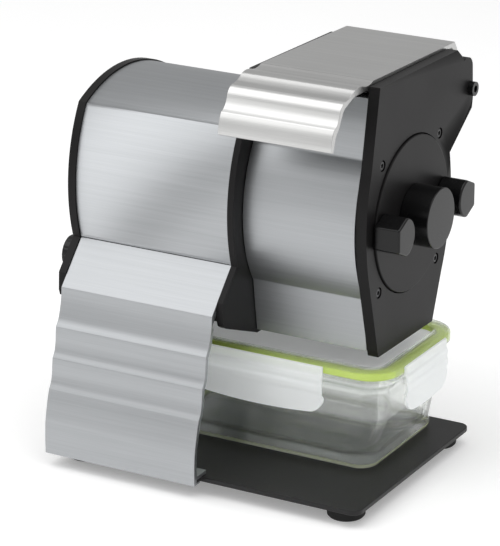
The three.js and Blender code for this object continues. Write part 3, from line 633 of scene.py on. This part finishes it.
def holes_through(obj, points, radius, left, right, steps=32):
    """Drills the same round hole through a piece at several points."""
    tool = bmesh.new()
    for point in points:
        rod(left, right, radius, point, steps, tool)
    return carve(obj, tool)


plate = as_object(drawn_out([*LOWER_FRONT, *plate_rim, LOWER_REAR], *LEFT_PLATE), "left_plate")
holes_through(plate, SCREW_AXES, SCREW_HOLE, -20, 20)
holes_through(plate, [SWITCH_AXIS], KNOB_HOLE, -20, 20)
complete(plate, "frame", CHARCOAL, ["left_side_plate"], bevel=0.9, segments=4)

# %% Middle plate
PIN_HOLE, ROD_HOLE, SHAFT_HOLE = 2.62, 2.2, 11.2
front_rim = plate_rim[: ARC_STEPS + 1]
rear_rim = [p for p in plate_rim[-ARC_STEPS:] if p[1] < 190]
middle_outline = [
    *LOWER_FRONT, *front_rim, (51, 217.2), UNIT_FRONT_TOP, *EAR, (159.8, 191), *rear_rim, LOWER_REAR,
]
plate = as_object(drawn_out(middle_outline, *MIDDLE_PLATE), "centre_plate")
holes_through(plate, ROD_AXES, ROD_HOLE, 90, 120)
holes_through(plate, [HINGE_AXIS], PIN_HOLE, 90, 120)
holes_through(plate, [DRUM_AXIS], SHAFT_HOLE, 90, 120, 48)
complete(plate, "frame", CHARCOAL, ["middle_plate"], bevel=0.8, segments=4)

# %% Right plate
PORT_RADIUS = 45.6
SEAT_RADIUS = 48.2
SEAT_DEPTH = 3.5
HEAD_HOLE, HEAD_DEPTH = 3.4, 3
CUT_LEFT, CUT_RIGHT = 170, 200
UNIT_BOTTOM = [(132.2, 82.6), (60.4, 83.6)]
unit_outline = [
    *UNIT_BOTTOM,
    *arc((48.2, 130), (42.9, 165), (48.6, 201), 32),
    UNIT_FRONT_TOP,
    *EAR,
    *arc((151.7, 184.8), (154.2, 158), (143.6, 112), 32),
]
plate = as_object(drawn_out(unit_outline, *RIGHT_PLATE), "end_plate")
face = RIGHT_PLATE[1]
holes_through(plate, ROD_AXES, ROD_HOLE, CUT_LEFT, CUT_RIGHT)
holes_through(plate, ROD_AXES, HEAD_HOLE, face - HEAD_DEPTH, CUT_RIGHT)
holes_through(plate, [HINGE_AXIS], PIN_HOLE, CUT_LEFT, CUT_RIGHT)
port_tool = turned([
    (CUT_LEFT, 0), (CUT_LEFT, PORT_RADIUS), (face - SEAT_DEPTH, PORT_RADIUS),
    (face - SEAT_DEPTH, SEAT_RADIUS), (CUT_RIGHT, SEAT_RADIUS), (CUT_RIGHT, 0),
], DRUM_AXIS, 128)
carve(plate, port_tool)
complete(plate, "frame", CHARCOAL, ["right_side_plate"], bevel=1.3, segments=5)

# %% [markdown]
# ## Motor housing
# The housing is one sheet of brushed aluminium rolled over the motor. Bending it means giving a
# line its thickness: the line is offset inwards, closed into an outline and drawn out along X.
# Four screw ports run inside it, slots cool the motor at the back, and a gland lets the cord out.

# %% Housing skin
SKIN = 2
BOSS_RADIUS, BOSS_BORE, BOSS_EMBED = 6, 2.2, 0.6
inwards = 1 if beside(housing_line, 1)[0][0] > housing_line[0][0] else -1
skin = as_object(drawn_out(sheet(housing_line, inwards * SKIN), *HOUSING), "motor_housing")
ports = bmesh.new()
for screw in SCREW_AXES:
    rod(*HOUSING, BOSS_RADIUS, screw, 32, ports)
within = drawn_out(beside(housing_line, inwards * BOSS_EMBED), *HOUSING)
ports = carve(as_object(ports, "ports"), within, "INTERSECT")
merged = bmesh.new()
merged.from_mesh(ports.data)
bpy.data.objects.remove(ports)
carve(skin, merged, "UNION")
holes_through(skin, SCREW_AXES, BOSS_BORE, HOUSING[0] - 1, HOUSING[1] + 1)

# %% Cooling slots and cord gland
SLOT_FIRST, SLOT_PITCH, SLOT_COUNT, SLOT_HALF = 143.5, 7, 7, 1.5
SLOT_LEFT, SLOT_RIGHT, CUT_FROM, CUT_LENGTH = 30, 80, 148, 24
slots = bmesh.new()
for i in range(SLOT_COUNT):
    z = SLOT_FIRST + i * SLOT_PITCH
    ends = [(SLOT_LEFT + SLOT_HALF, 90, 270), (SLOT_RIGHT - SLOT_HALF, -90, 90)]
    outline = []
    for x, start, stop in ends:
        for step in range(9):
            outline.append(on_circle((x, z), SLOT_HALF, math.radians(start + (stop - start) * step / 8)))
    pulled([at(x, CUT_FROM, z) for x, z in outline], (0, CUT_LENGTH, 0), slots)
carve(skin, slots)
GLAND_AXIS = (16, 136)
carve(skin, turned([(150, 0), (150, 5.9), (172, 5.9), (172, 0)], GLAND_AXIS, 48, axis="Y"))
complete(skin, "frame", ALUMINIUM, ["motor_shell"], bevel=0.3, segments=2)

gland_profile = [
    (150.5, 3), (150.5, 5.5), (160.4, 5.5), (160.4, 8), (161.2, 8), (163.5, 7), (163.5, 3), (150.5, 3),
]
gland = as_object(turned(gland_profile, GLAND_AXIS, 48, axis="Y"), "rear_gland")
complete(gland, "frame", RUBBER, ["cord_gland"], bevel=0.3, segments=2)

# %% [markdown]
# ## Legs, base plate and feet
# Both legs are extrusions with a channel that grips the edge of the base plate. The front one
# slopes down to three hollow steps that run the housing's whole width. Each step is a smooth curve
# through a few points and ends in a crisp edge, and the wall's back is that line moved inwards.

# %% Front leg
WALL = 3
LEG_FACE = -8.4
BASE_DEPTH = 151
BASE_TOP = span("base_plate")[1].z
TONGUE_BOTTOM = 9.6
CHANNEL_GAP = 0.1
steps = [
    [(13.4, 108.6), (12.7, 102), (11.2, 95.5), (9.2, 89.8), (6.2, 85.3)],
    [(6.2, 85.3), (5.75, 81.2), (5.3, 75.8), (4.2, 70.9), (1.7, 66.6)],
    [(1.7, 66.6), (1.15, 62.5), (0.6, 56.7), (-0.6, 52.2), (-3, 47.9)],
    [(-3, 47.9), (-4.8, 42.2), (-6.6, 34.8), (-7.8, 28.5), (LEG_FACE, 20)],
]
leg_line = [(36.6, 133.5)]
for hollow_step in steps:
    leg_line += smooth_line(hollow_step, 6)[:-1]
leg_line += [(LEG_FACE, 20), (LEG_FACE, 10)]
leg_back = beside(leg_line, WALL)
if leg_back[-1][0] < LEG_FACE:
    leg_back = beside(leg_line, -WALL)
leg_back = smooth_line(leg_back[:-1:4], 4)
channel = [
    (LEG_FACE, 8.4), (-1.4, 8.4), (-1.4, TONGUE_BOTTOM - CHANNEL_GAP),
    (LEG_FACE + WALL, TONGUE_BOTTOM - CHANNEL_GAP), (LEG_FACE + WALL, BASE_TOP + CHANNEL_GAP),
    (5.7, BASE_TOP + CHANNEL_GAP), (5.7, 14.1), (LEG_FACE + WALL + 0.2, 14.1),
]
leg_outline = [*leg_line[:-1], *channel, *reversed(leg_back)]
leg = as_object(drawn_out(leg_outline, *HOUSING), "stepped_leg")
complete(leg, "frame", ALUMINIUM, ["front_leg"], bevel=0.25, segments=2, angle=20)

# %% Rear leg
REAR_LEG_RIGHT = span("rear_leg")[1].x
back = [(LEG_FACE, 96), (-6.4, 108), (-1.6, 117.4)]
inner = beside(back, -WALL)
if inner[0][0] < LEG_FACE:
    inner = beside(back, WALL)
rear_outline = [(BASE_DEPTH - y, z) for y, z in [*channel, *inner, *reversed(back)]]
leg = as_object(drawn_out(rear_outline, HOUSING[0], REAR_LEG_RIGHT), "back_leg")
complete(leg, "frame", ALUMINIUM, ["rear_leg"], bevel=0.35, segments=3)

# %% Base plate
low, high = span("base_plate")
BASE_RIGHT, BASE_CORNER = high.x, 6.5
quarter = BASE_CORNER * (1 - math.sqrt(0.5))
base_outline = [
    (HOUSING[0], 0),
    *arc((BASE_RIGHT - BASE_CORNER, 0), (BASE_RIGHT - quarter, quarter), (BASE_RIGHT, BASE_CORNER), 12),
    *arc((BASE_RIGHT, BASE_DEPTH - BASE_CORNER), (BASE_RIGHT - quarter, BASE_DEPTH - quarter),
         (BASE_RIGHT - BASE_CORNER, BASE_DEPTH), 12),
    (HOUSING[0], BASE_DEPTH),
]
base = as_object(raised(base_outline, low.z, high.z), "base")
TONGUES = ((HOUSING[1], -TONGUE, 2), (REAR_LEG_RIGHT, BASE_DEPTH - 2, BASE_DEPTH + TONGUE))
for right, front, rear in TONGUES:
    tongue = [(HOUSING[0], front), (right, front), (right, rear), (HOUSING[0], rear)]
    carve(base, raised(tongue, TONGUE_BOTTOM, high.z), "UNION")
complete(base, "frame", POWDER_BLACK, ["base_plate"], bevel=0.6, segments=4)

# %% Feet
for name in ("front_left", "front_right", "rear_left", "rear_right"):
    low, high = span("foot_" + name)
    spot = ((low.x + high.x) / 2, (low.y + high.y) / 2)
    profile = [
        (0.5, 0), (0.5, 7.6), (0, 8), (0, 10.2), (1.4, 11.4), (6.6, 11.2), (7.2, 10.2), (8.5, 10.2),
        (8.5, 0),
    ]
    foot = as_object(turned(profile, spot, 64, axis="Z"), "rubber_foot_" + name)
    complete(foot, "frame", RUBBER, ["foot_" + name], bevel=0.4, segments=3)

# %% Bottom cover
cover_line = [(22.5, 111), (22.5, 102.5), (61, 86), (139.3, 85.6), (150.2, 114.5)]
cover_wall = 1.5 if beside(cover_line, 1.5)[0][0] > 22.5 else -1.5
tray = as_object(drawn_out(sheet(cover_line, cover_wall), *HOUSING), "under_cover")
complete(tray, "frame", POWDER_BLACK, ["bottom_cover"], bevel=0.25, segments=2)

# %% [markdown]
# ## Grating unit skins
# Two more bent sheets close the grating unit in front and behind. They meet nothing at the
# bottom, where the gratings fall out, nor at the top, where the cheese goes in.

# %% Front and rear skins
front_line = [(59.2, 86.5), *arc((54.3, 120), (41.8, 164), (54.9, 206.5), 48), (58.3, 242)]
rear_line = [(150.2, 228), *arc((150.7, 184.5), (153.2, 158), (142.6, 112), 32), (131.9, 85)]
for line, name, node, inside in (
    (front_line, "unit_front_skin", "grater_front_shell", 1),
    (rear_line, "unit_rear_skin", "grater_rear_shell", -1),
):
    wall = SKIN if (beside(line, SKIN)[0][0] - line[0][0]) * inside > 0 else -SKIN
    piece = as_object(drawn_out(sheet(line, wall), *CHAMBER), name)
    complete(piece, "frame", ALUMINIUM, [node], bevel=0.3, segments=2)

# %% [markdown]
# ## Press lever
# The lever is one extrusion from the curl round its hinge pin to a stepped nose that fingers can
# grip. Short smooth curves with crisp ends give the steps, and the bore is drilled afterwards.

# %% Lever
LEVER = [corner.x for corner in span("press_lever")]
NOSE_STEPS = [
    [(63.7, 251.5), (60, 250.4), (55, 250.2), (49.5, 251.6), (45, 252.1), (41, 251.5)],
    [(41, 251.5), (37.6, 249.7), (33.6, 248.2), (29, 247.7)],
    [(29, 247.7), (26.2, 246.4), (24, 244.1), (22.7, 241), (21.2, 238), (19.2, 235.9), (16.3, 234.3)],
    [(16.3, 234.3), (14.7, 231.5), (13.5, 228.2), (12.8, 224.6), (12.7, 222.6)],
]
nose = [point for hollow_step in NOSE_STEPS for point in smooth_line(hollow_step, 6)[:-1]]
nose += [(12.7, 222.6), (12.9, 221.7)]
nose_inside = smooth_line([
    (15.6, 221), (16.9, 225), (18.6, 229.8), (22.3, 234), (25.4, 239.2), (28.2, 243), (33, 244.9),
    (41, 247.4), (50, 247.3),
], 6)
CURL = 4.4
curl = []
for step in range(40, -1, -1):
    angle = math.radians(40 - step * 6.5)
    curl.append((HINGE_AXIS[0] + CURL * math.cos(angle), HINGE_AXIS[1] + CURL * math.sin(angle)))
lever_outline = [
    *nose, (13.6, 221.2), *nose_inside, (58, 247.3), (63.8, 248.5), (166.8, 245.1), (170.2, 242),
    (173.2, 233), *curl, (177.2, 236), (174.2, 243.5), (171, 248),
]
lever = as_object(drawn_out(lever_outline, *LEVER), "hinged_lever")
holes_through(lever, [HINGE_AXIS], PIN_HOLE, 90, 200, 48)
complete(
    lever, "lever", LIT_LEVER_ALUMINIUM, ["press_lever"],
    bevel=0.3, segments=2, angle=25,
)

# %% Pusher
PUSH_X = [corner.x for corner in span("pusher_block")]
HINGE_REACH, DRUM_REACH, PUSH_REAR, PUSH_LOW, PUSH_TOP = 108, 46.8, 131, 201, 248
push_front = []
for step in range(25):
    z = PUSH_TOP + (PUSH_LOW - PUSH_TOP) * step / 24
    push_front.append((HINGE_AXIS[0] - math.sqrt(HINGE_REACH**2 - (z - HINGE_AXIS[1]) ** 2), z))
first = math.asin((PUSH_LOW - DRUM_AXIS[1]) / DRUM_REACH)
hollow = []
for step in range(33):
    hollow.append(on_circle(DRUM_AXIS, DRUM_REACH, math.pi - first - (math.pi - 2 * first) * step / 32))
push_outline = [*push_front, *hollow, (PUSH_REAR, PUSH_LOW), (PUSH_REAR, 246.2)]
pusher = as_object(drawn_out(push_outline, *PUSH_X), "cheese_pusher")
complete(pusher, "lever", MOULDED_BLACK, ["pusher_block"], bevel=0.6, segments=3)

# %% [markdown]
# ## Drum cover and grip
# A round cover closes the drum's port and locks with an eighth of a turn. A boss and two wings
# stand on it for the hand. The cover and boss are turned, and each wing is a D drawn out along X:
# flat outside with long slanted shoulders, and round towards the boss.

# %% Cover disc and boss
COVER_RADIUS, PLUG_RADIUS, PROUD = 47.5, 45, 1.2
seat = face - SEAT_DEPTH
disc_profile = [
    (seat - 3, 6.3), (seat - 3, PLUG_RADIUS), (seat + 0.1, PLUG_RADIUS), (seat + 0.1, COVER_RADIUS),
    (face + PROUD, COVER_RADIUS), (face + PROUD, 6.3), (seat - 3, 6.3),
]
lid_disc = as_object(turned(disc_profile, DRUM_AXIS, 160), "cover_disc")
complete(lid_disc, "cover", CHARCOAL, ["drum_cover"], bevel=0.7, segments=4)

BOSS_RADIUS = 18.3
BOSS_END = span("grip_boss")[1].x
boss_profile = [
    (face + PROUD, 6.3), (face + PROUD, BOSS_RADIUS), (BOSS_END, BOSS_RADIUS), (BOSS_END, 0),
    (196, 0), (196, 6.3), (face + PROUD, 6.3),
]
boss = as_object(turned(boss_profile, DRUM_AXIS, 96), "grip_hub")
complete(boss, "cover", MOULDED_BLACK, ["grip_boss"], bevel=0.5, segments=3)

# %% Wings
WING_OUT, WING_FLAT, WING_SHOULDER, WING_HALF, WING_IN = 50.6, 7, 40.4, 11.6, 29.8
WING_END = span("grip_wing_front")[1].x
for side, name in ((-1, "front"), (1, "rear")):
    y, z = DRUM_AXIS

    def spot(out, up):
        return (y + side * out, z + up)

    round_start = spot(WING_SHOULDER - 1, WING_HALF)
    round_end = spot(WING_SHOULDER - 1, -WING_HALF)
    outline = [
        spot(WING_SHOULDER, -WING_HALF), spot(WING_OUT, -WING_FLAT), spot(WING_OUT, WING_FLAT),
        spot(WING_SHOULDER, WING_HALF), *arc(round_start, spot(WING_IN, 0), round_end, 32),
    ]
    wing = as_object(drawn_out(outline, face + PROUD, WING_END), "wing_" + name)
    complete(wing, "cover", MOULDED_BLACK, ["grip_wing_" + name], bevel=1.2, segments=5)

# %% [markdown]
# ## Fasteners, hinge pin and switch knob
# Small turned parts get their sockets, since these catch the light. A six-sided tool is a spin of
# six steps, so the same helper that turns a part also makes the socket's cutter.

# %% Tie rods with socket heads


def socketed(obj, bottom, top, across, centre):
    """Cuts a hexagon socket into a round head."""
    return carve(obj, turned([(bottom, 0), (bottom, across), (top, across), (top, 0)], centre, 6))


for corner, centre in zip(CORNERS, ROD_AXES):
    profile = [
        (MIDDLE_PLATE[0], 0), (MIDDLE_PLATE[0], 2), (MIDDLE_PLATE[1], 2), (MIDDLE_PLATE[1], 3),
        (RIGHT_PLATE[0], 3), (RIGHT_PLATE[0], 2), (face - 3, 2), (face - 3, 3.1), (face - 1, 3.1),
        (face - 0.5, 2.5), (face - 0.4, 0),
    ]
    tie = as_object(turned(profile, centre, 48), "tie_bar_" + corner)
    socketed(tie, face - 2, face + 1, 1.4, centre)
    complete(tie, "frame", DARK_STEEL, ["tie_rod_" + corner], bevel=0.15, segments=2)

# %% Housing screws and hinge pin
outer = LEFT_PLATE[0]
for corner, centre in zip(CORNERS, SCREW_AXES):
    profile = [
        (outer - 4, 0), (outer - 3.9, 1.2), (outer - 3.4, 2.4), (outer - 2.4, 3.4), (outer - 1.2, 4),
        (outer, 4.2), (outer, 1.9), (9, 1.9), (9, 0),
    ]
    screw = as_object(turned(profile, centre, 48), "dome_screw_" + corner)
    socketed(screw, outer - 5, outer - 2, 1.5, centre)
    complete(screw, "frame", MOULDED_BLACK, ["cover_screw_" + corner], bevel=0.1, segments=2)

PIN_RADIUS, HEAD_RADIUS, HEAD_LENGTH = 2.5, 4.4, 3.5
profile = [
    (102, 0), (102, PIN_RADIUS), (face, PIN_RADIUS), (face, HEAD_RADIUS), (face + HEAD_LENGTH, HEAD_RADIUS),
    (face + HEAD_LENGTH, 0),
]
pin = as_object(turned(profile, HINGE_AXIS, 64), "lever_pin")
socketed(pin, face + 1, face + 8, 2.4, HINGE_AXIS)
complete(pin, "frame", DARK_STEEL, ["hinge_pin"], bevel=0.5, segments=3)

# %% Switch knob
KNOB_RADIUS, KNOB_END = 11, -18
knob_profile = [
    (KNOB_END, 0), (KNOB_END, KNOB_RADIUS - 0.6), (outer - 3, KNOB_RADIUS), (outer - 0.4, KNOB_RADIUS),
    (outer - 0.4, 3.6), (4.5, 3.6), (4.5, 0),
]
knob = as_object(turned(knob_profile, SWITCH_AXIS, 96), "turning_knob")
FLUTES, FLUTE_RADIUS, FLUTE_REACH = 12, 1.9, KNOB_RADIUS + 1.2
flutes = bmesh.new()
for i in range(FLUTES):
    centre = on_circle(SWITCH_AXIS, FLUTE_REACH, math.tau * i / FLUTES)
    rod(KNOB_END - 2, outer - 3.5, FLUTE_RADIUS, centre, 20, flutes)
carve(knob, flutes)
complete(knob, "switch", MOULDED_BLACK, ["switch_knob"], bevel=0.5, segments=3)

# %% [markdown]
# ## Grating drum
# The drum is a steel tube punched from inside, so every hole has a raised burr that cuts. The
# tube is spun with short faces, every other face is inset and pulled out into a burr, and inset
# again and pushed in to make the hole. That is a few faces for each of several hundred teeth.

# %% Punched drum
DRUM_X = [corner.x for corner in span("grating_drum")]
DRUM_RADIUS, DRUM_BORE, TEETH_ROUND, TEETH_ALONG = 42.9, 42.4, 72, 16
margin = 2
toothed = DRUM_X[1] - DRUM_X[0] - 2 * margin
rows = [DRUM_X[0] + margin + toothed * i / TEETH_ALONG for i in range(TEETH_ALONG + 1)]
along = [DRUM_X[0], *rows, DRUM_X[1]]
tube = [(x, DRUM_RADIUS) for x in along]
tube += [(DRUM_X[1], DRUM_BORE), (DRUM_X[0], DRUM_BORE), (DRUM_X[0], DRUM_RADIUS)]
bm = turned(tube, DRUM_AXIS, TEETH_ROUND)
punched = []
for f in bm.faces:
    middle = (f.calc_center_median() - DATUM) / MM
    radius = math.hypot(middle.y - DRUM_AXIS[0], middle.z - DRUM_AXIS[1])
    around = math.atan2(middle.z - DRUM_AXIS[1], middle.y - DRUM_AXIS[0]) / math.tau
    turn = round(around * TEETH_ROUND - 0.5)
    column = (middle.x - along[1]) / (along[2] - along[1])
    if radius > 42.6 and 0 < column < TEETH_ALONG and (turn + int(column)) % 2 == 0:
        punched.append(f)
bmesh.ops.inset_individual(bm, faces=punched, thickness=0.9 * MM, depth=0.0, use_even_offset=True)
bmesh.ops.inset_individual(bm, faces=punched, thickness=0.45 * MM, depth=1.0 * MM, use_even_offset=True)
bmesh.ops.inset_individual(bm, faces=punched, thickness=0.08 * MM, depth=-1.1 * MM, use_even_offset=True)
drum = as_object(bm, "toothed_drum")
complete(drum, "drum", STEEL, ["grating_drum"], bevel=0)
print("teeth:", len(punched))

# %% [markdown]
# ## Glass box
# The box is pressed glass: a tapered tub with round corners, a thick base and a rolled rim. It is
# a stack of level rounded rectangles that bridge_loops joins into one skin, down the outside and
# up again inside. The inner corners are rounder than the outer ones, so the glass is thick there.

# %% Level loops


def rounded(left, right, front, rear, radius, steps=12):
    """A rectangle with round corners, in plan."""
    points = []
    for x, y, start in ((right, rear, 0), (left, rear, 90), (left, front, 180), (right, front, 270)):
        cx = x - radius if x == right else x + radius
        cy = y - radius if y == rear else y + radius
        for step in range(steps + 1):
            a = math.radians(start + 90 * step / steps)
            points.append((cx + radius * math.cos(a), cy + radius * math.sin(a)))
    return points


def stacked(levels, closed=False):
    """Joins level outlines, each (outline, height), into one skin; closed joins last to first.

    Neighbours differ a little in height, as bridge_loops needs a line between their middles.
    """
    bm = bmesh.new()
    loops = []
    for outline, z in levels:
        ring = [bm.verts.new(at(x, y, z)) for x, y in outline]
        loops.append([bm.edges.new((a, b)) for a, b in zip(ring, ring[1:] + ring[:1])])
    for lower, upper in zip(loops, loops[1:]):
        bmesh.ops.bridge_loops(bm, edges=lower + upper)
    if closed:
        bmesh.ops.bridge_loops(bm, edges=loops[-1] + loops[0])
    else:
        bmesh.ops.contextual_create(bm, geom=loops[0])
        bmesh.ops.contextual_create(bm, geom=loops[-1])
    bmesh.ops.recalc_face_normals(bm, faces=bm.faces)
    print("stacked volume:", round(bm.calc_volume() * 1e6, 1), "cm3")
    return bm


low, high = span("box_lid")
BOX_LEFT, BOX_RIGHT, BOX_FRONT, BOX_REAR, LID_TOP = low.x, high.x, low.y, high.y, high.z
CORNER = 20
TABLE = span("base_plate")[1].z


def rim_loop(inset, radius=None):
    """The lid's outline, moved inwards."""
    return rounded(
        BOX_LEFT + inset, BOX_RIGHT - inset, BOX_FRONT + inset, BOX_REAR - inset,
        CORNER - inset if radius is None else radius,
    )


FOOT_LEFT, FOOT_RIGHT, FOOT_FRONT, FOOT_REAR = 43, 188.4, 54.4, 143


def foot_loop(inset, radius):
    """The outline of the box's smaller base, moved inwards."""
    return rounded(FOOT_LEFT + inset, FOOT_RIGHT - inset, FOOT_FRONT + inset, FOOT_REAR - inset, radius)


print("lid:", [round(v, 1) for v in (BOX_LEFT, BOX_RIGHT, BOX_FRONT, BOX_REAR, LID_TOP)])

# %% Glass tub
RIM = 71
tub = as_object(stacked([
    (foot_loop(10, 5), TABLE + 0.6), (foot_loop(6, 7), TABLE + 0.05), (foot_loop(2.2, 9.4), TABLE),
    (foot_loop(0.5, 10.8), TABLE + 0.9), (foot_loop(-0.3, 11.5), TABLE + 2.6),
    (foot_loop(-0.7, 11.9), TABLE + 4.6), (foot_loop(0.2, 11), TABLE + 6.6),
    (foot_loop(-0.2, 11.4), TABLE + 9),
    (rim_loop(8.4), 42), (rim_loop(6.8), 60), (rim_loop(6.4), 63.6), (rim_loop(4.4), 65.2),
    (rim_loop(3.5), 66.6), (rim_loop(3.4), 68), (rim_loop(3.4), 70.2), (rim_loop(4.2), RIM - 0.05),
    (rim_loop(6.8), RIM), (rim_loop(7.8), 70.2), (rim_loop(8.6), 67), (rim_loop(9.8), 62),
    (rim_loop(12, 17), 42), (foot_loop(2.6, 17), TABLE + 12), (foot_loop(4, 16), TABLE + 8),
    (foot_loop(7, 14), TABLE + 5.6), (foot_loop(12, 11), TABLE + 4.6), (foot_loop(20, 8), TABLE + 4.4),
]), "glass_tub")
complete(tub, "container", GLASS, ["glass_box"], bevel=0)

# %% [markdown]
# ## Lid and seal
# The lid's milky panel is sunk inside a raised rim, and the rim is clear enough to show the lime
# seal that it holds. Both rings are a closed section carried round the corners, so the same
# stack of loops makes them when its last loop is bridged back to its first.

# %% Lid rim, panel and seal
rim = as_object(stacked([
    (rim_loop(1.2), 70.45), (rim_loop(0.3), 70.4), (rim_loop(0), 70.9), (rim_loop(0), 75.6),
    (rim_loop(0.35), 76.4), (rim_loop(1.1), LID_TOP - 0.15), (rim_loop(2.2), LID_TOP - 0.05),
    (rim_loop(9.4), LID_TOP), (rim_loop(10.6), LID_TOP - 0.35), (rim_loop(11.3), LID_TOP - 1.1),
    (rim_loop(11.7), LID_TOP - 3.2), (rim_loop(11.7), 72.2), (rim_loop(9), 72.25), (rim_loop(9), 75.6),
    (rim_loop(1.2), 75.65),
], closed=True), "lid_rim")
complete(rim, "container", RIM_CLEAR, ["box_lid"], bevel=0)
panel = as_object(stacked([
    (rim_loop(11.6), 72.4), (rim_loop(11.6), LID_TOP - 3.4), (rim_loop(12.6), LID_TOP - 3.8),
    (rim_loop(16, 10), LID_TOP - 3.9), (rim_loop(16.4, 10), LID_TOP - 3.6), (rim_loop(18, 9), LID_TOP - 3.5),
]), "lid_panel")
complete(panel, "container", FROSTED, ["box_lid"], bevel=0)
seal = as_object(stacked([
    (rim_loop(1.6), 71.4), (rim_loop(1.4), 72), (rim_loop(1.4), 75), (rim_loop(1.8), 75.45),
    (rim_loop(8.2), 75.5), (rim_loop(8.7), 75), (rim_loop(8.7), 71.6), (rim_loop(8.2), 71.15),
    (rim_loop(2.4), 71.1),
], closed=True), "lime_ring")
complete(seal, "container", LIME, ["lid_gasket"], bevel=0)

# %% [markdown]
# ## Clips
# Each clip hangs from the lid on a thin flap, steps out over the rim of the glass and ends in a
# tab with a round bottom. A flat grid is bent to the clip's side view, its lowest rows are drawn
# up to the tab's round outline, and solidify gives it thickness. A hook for the rim of the glass
# stands behind it. It is made facing forwards and then turned to its own side of the box.

# %% Clips
CLIP_PIVOT = LID_TOP - 0.5
CLIP_SKIN = 1.5
clip_side = smooth_line([
    (-0.5, -0.2), (-1.5, -0.9), (-1.7, -3.5), (-1.6, -5.6), (-2.3, -6.9), (-2.6, -9), (-2.2, -11.2),
    (-2.7, -13), (-2.7, -16), (-2.2, -18.2), (-2, -23), (-2.1, -28), (-2.3, -31.4),
], 5)
CLIP_WAIST, CLIP_CORNER, CLIP_SAG, CLIP_COLUMNS = -18.0, 8.0, 2.6, 48
CLIP_END = clip_side[-1][1]
HOOK_SHORT, HOOK_BACK, HOOK_REACH, HOOK_BOTTOM, HOOK_TOP = 8, -0.8, 4.9, -14.2, -11.4
SIDES = {"front": (43.5, 0), "right": (27, 90), "rear": (43.5, 180), "left": (27, 270)}
box_middle = ((BOX_LEFT + BOX_RIGHT) / 2, (BOX_FRONT + BOX_REAR) / 2)


def clip_foot(x, half):
    """The height of the tab's lower edge, which sags in the middle and has round ends."""
    past = max(0.0, abs(x) - (half - CLIP_CORNER)) / CLIP_CORNER
    lift = CLIP_CORNER * (1 - math.sqrt(max(0.0, 1 - past * past)))
    return CLIP_END + CLIP_SAG * (x / half) ** 2 + lift


for side, (half, degrees) in SIDES.items():
    bm = bmesh.new()
    bmesh.ops.create_grid(bm, x_segments=CLIP_COLUMNS, y_segments=len(clip_side) - 1, size=1)
    for v in bm.verts:
        x = half * math.sin(v.co.x * math.pi / 2)
        y, z = clip_side[round((1 - v.co.y) / 2 * (len(clip_side) - 1))]
        if z < CLIP_WAIST:
            z = CLIP_WAIST + (z - CLIP_WAIST) * (clip_foot(x, half) - CLIP_WAIST) / (CLIP_END - CLIP_WAIST)
        v.co = at(x, y, z)
    bmesh.ops.recalc_face_normals(bm, faces=bm.faces)
    if sum(f.normal.y * f.calc_area() for f in bm.faces) > 0:
        bmesh.ops.reverse_faces(bm, faces=bm.faces)
    bmesh.ops.solidify(bm, geom=bm.faces[:], thickness=CLIP_SKIN * MM)
    hook = rounded(-half + HOOK_SHORT, half - HOOK_SHORT, HOOK_BACK, HOOK_REACH, 0.6, 3)
    raised(hook, HOOK_BOTTOM, HOOK_TOP, bm)
    bmesh.ops.recalc_face_normals(bm, faces=bm.faces)
    clip = as_object(bm, "clip_flap_" + side)
    ends = [(v.co.y - DATUM.y) / MM for v in clip.data.vertices]
    print(clip.name, "from", round(min(ends), 1), "to", round(max(ends), 1))
    spot = {
        "front": (box_middle[0], BOX_FRONT), "right": (BOX_RIGHT, box_middle[1]),
        "rear": (box_middle[0], BOX_REAR), "left": (BOX_LEFT, box_middle[1]),
    }[side]
    place = Matrix.Translation(at(*spot, CLIP_PIVOT)) @ Matrix.Rotation(math.radians(degrees), 4, "Z")
    clip.data.transform(place @ Matrix.Translation(-DATUM))
    complete(clip, side + "_clip", CLIP_MILK, ["clip_" + side], bevel=0.3, segments=3)

# %% [markdown]
# ## Parts kept from the CAD model
# Motor, gears, shafts, bearings and liners are inside the machine and show only through the chute
# or when a cover is off. They keep their CAD shape and are given the finish of what they are.

# %% Finishes for the inner parts
INNER = {
    "steel": (STEEL, [
        "hopper_front_wall", "hopper_rear_wall", "drum_spindle", "drive_shaft", "idler_shaft", "idler_gear",
        "motor_rotor", "motor_shaft", "drive_bearing",
    ]),
    "cast_metal": (CAST, ["gearbox_frame", "motor_end_bell"]),
    "black_steel": (POWDER_BLACK, ["motor_can"]),
    "copper": (COPPER, ["motor_stator"]),
    "brass": (BRASS, ["output_gear", "motor_pinion"]),
    "pale_plastic": (NYLON, ["drum_cap_left", "drum_cap_right"]),
    "black_plastic": (MOULDED_BLACK, ["switch_body"]),
}
for slot_name, (material, members) in INNER.items():
    for name in members:
        node = nodes[name]
        node.data.materials.clear()
        node.data.materials.append(material)
finished = {name for _, members in INNER.values() for name in members}
plain = [name for name, node in nodes.items() if not node.hide_render and name not in finished]
print("inner parts finished; without a finish:", plain)
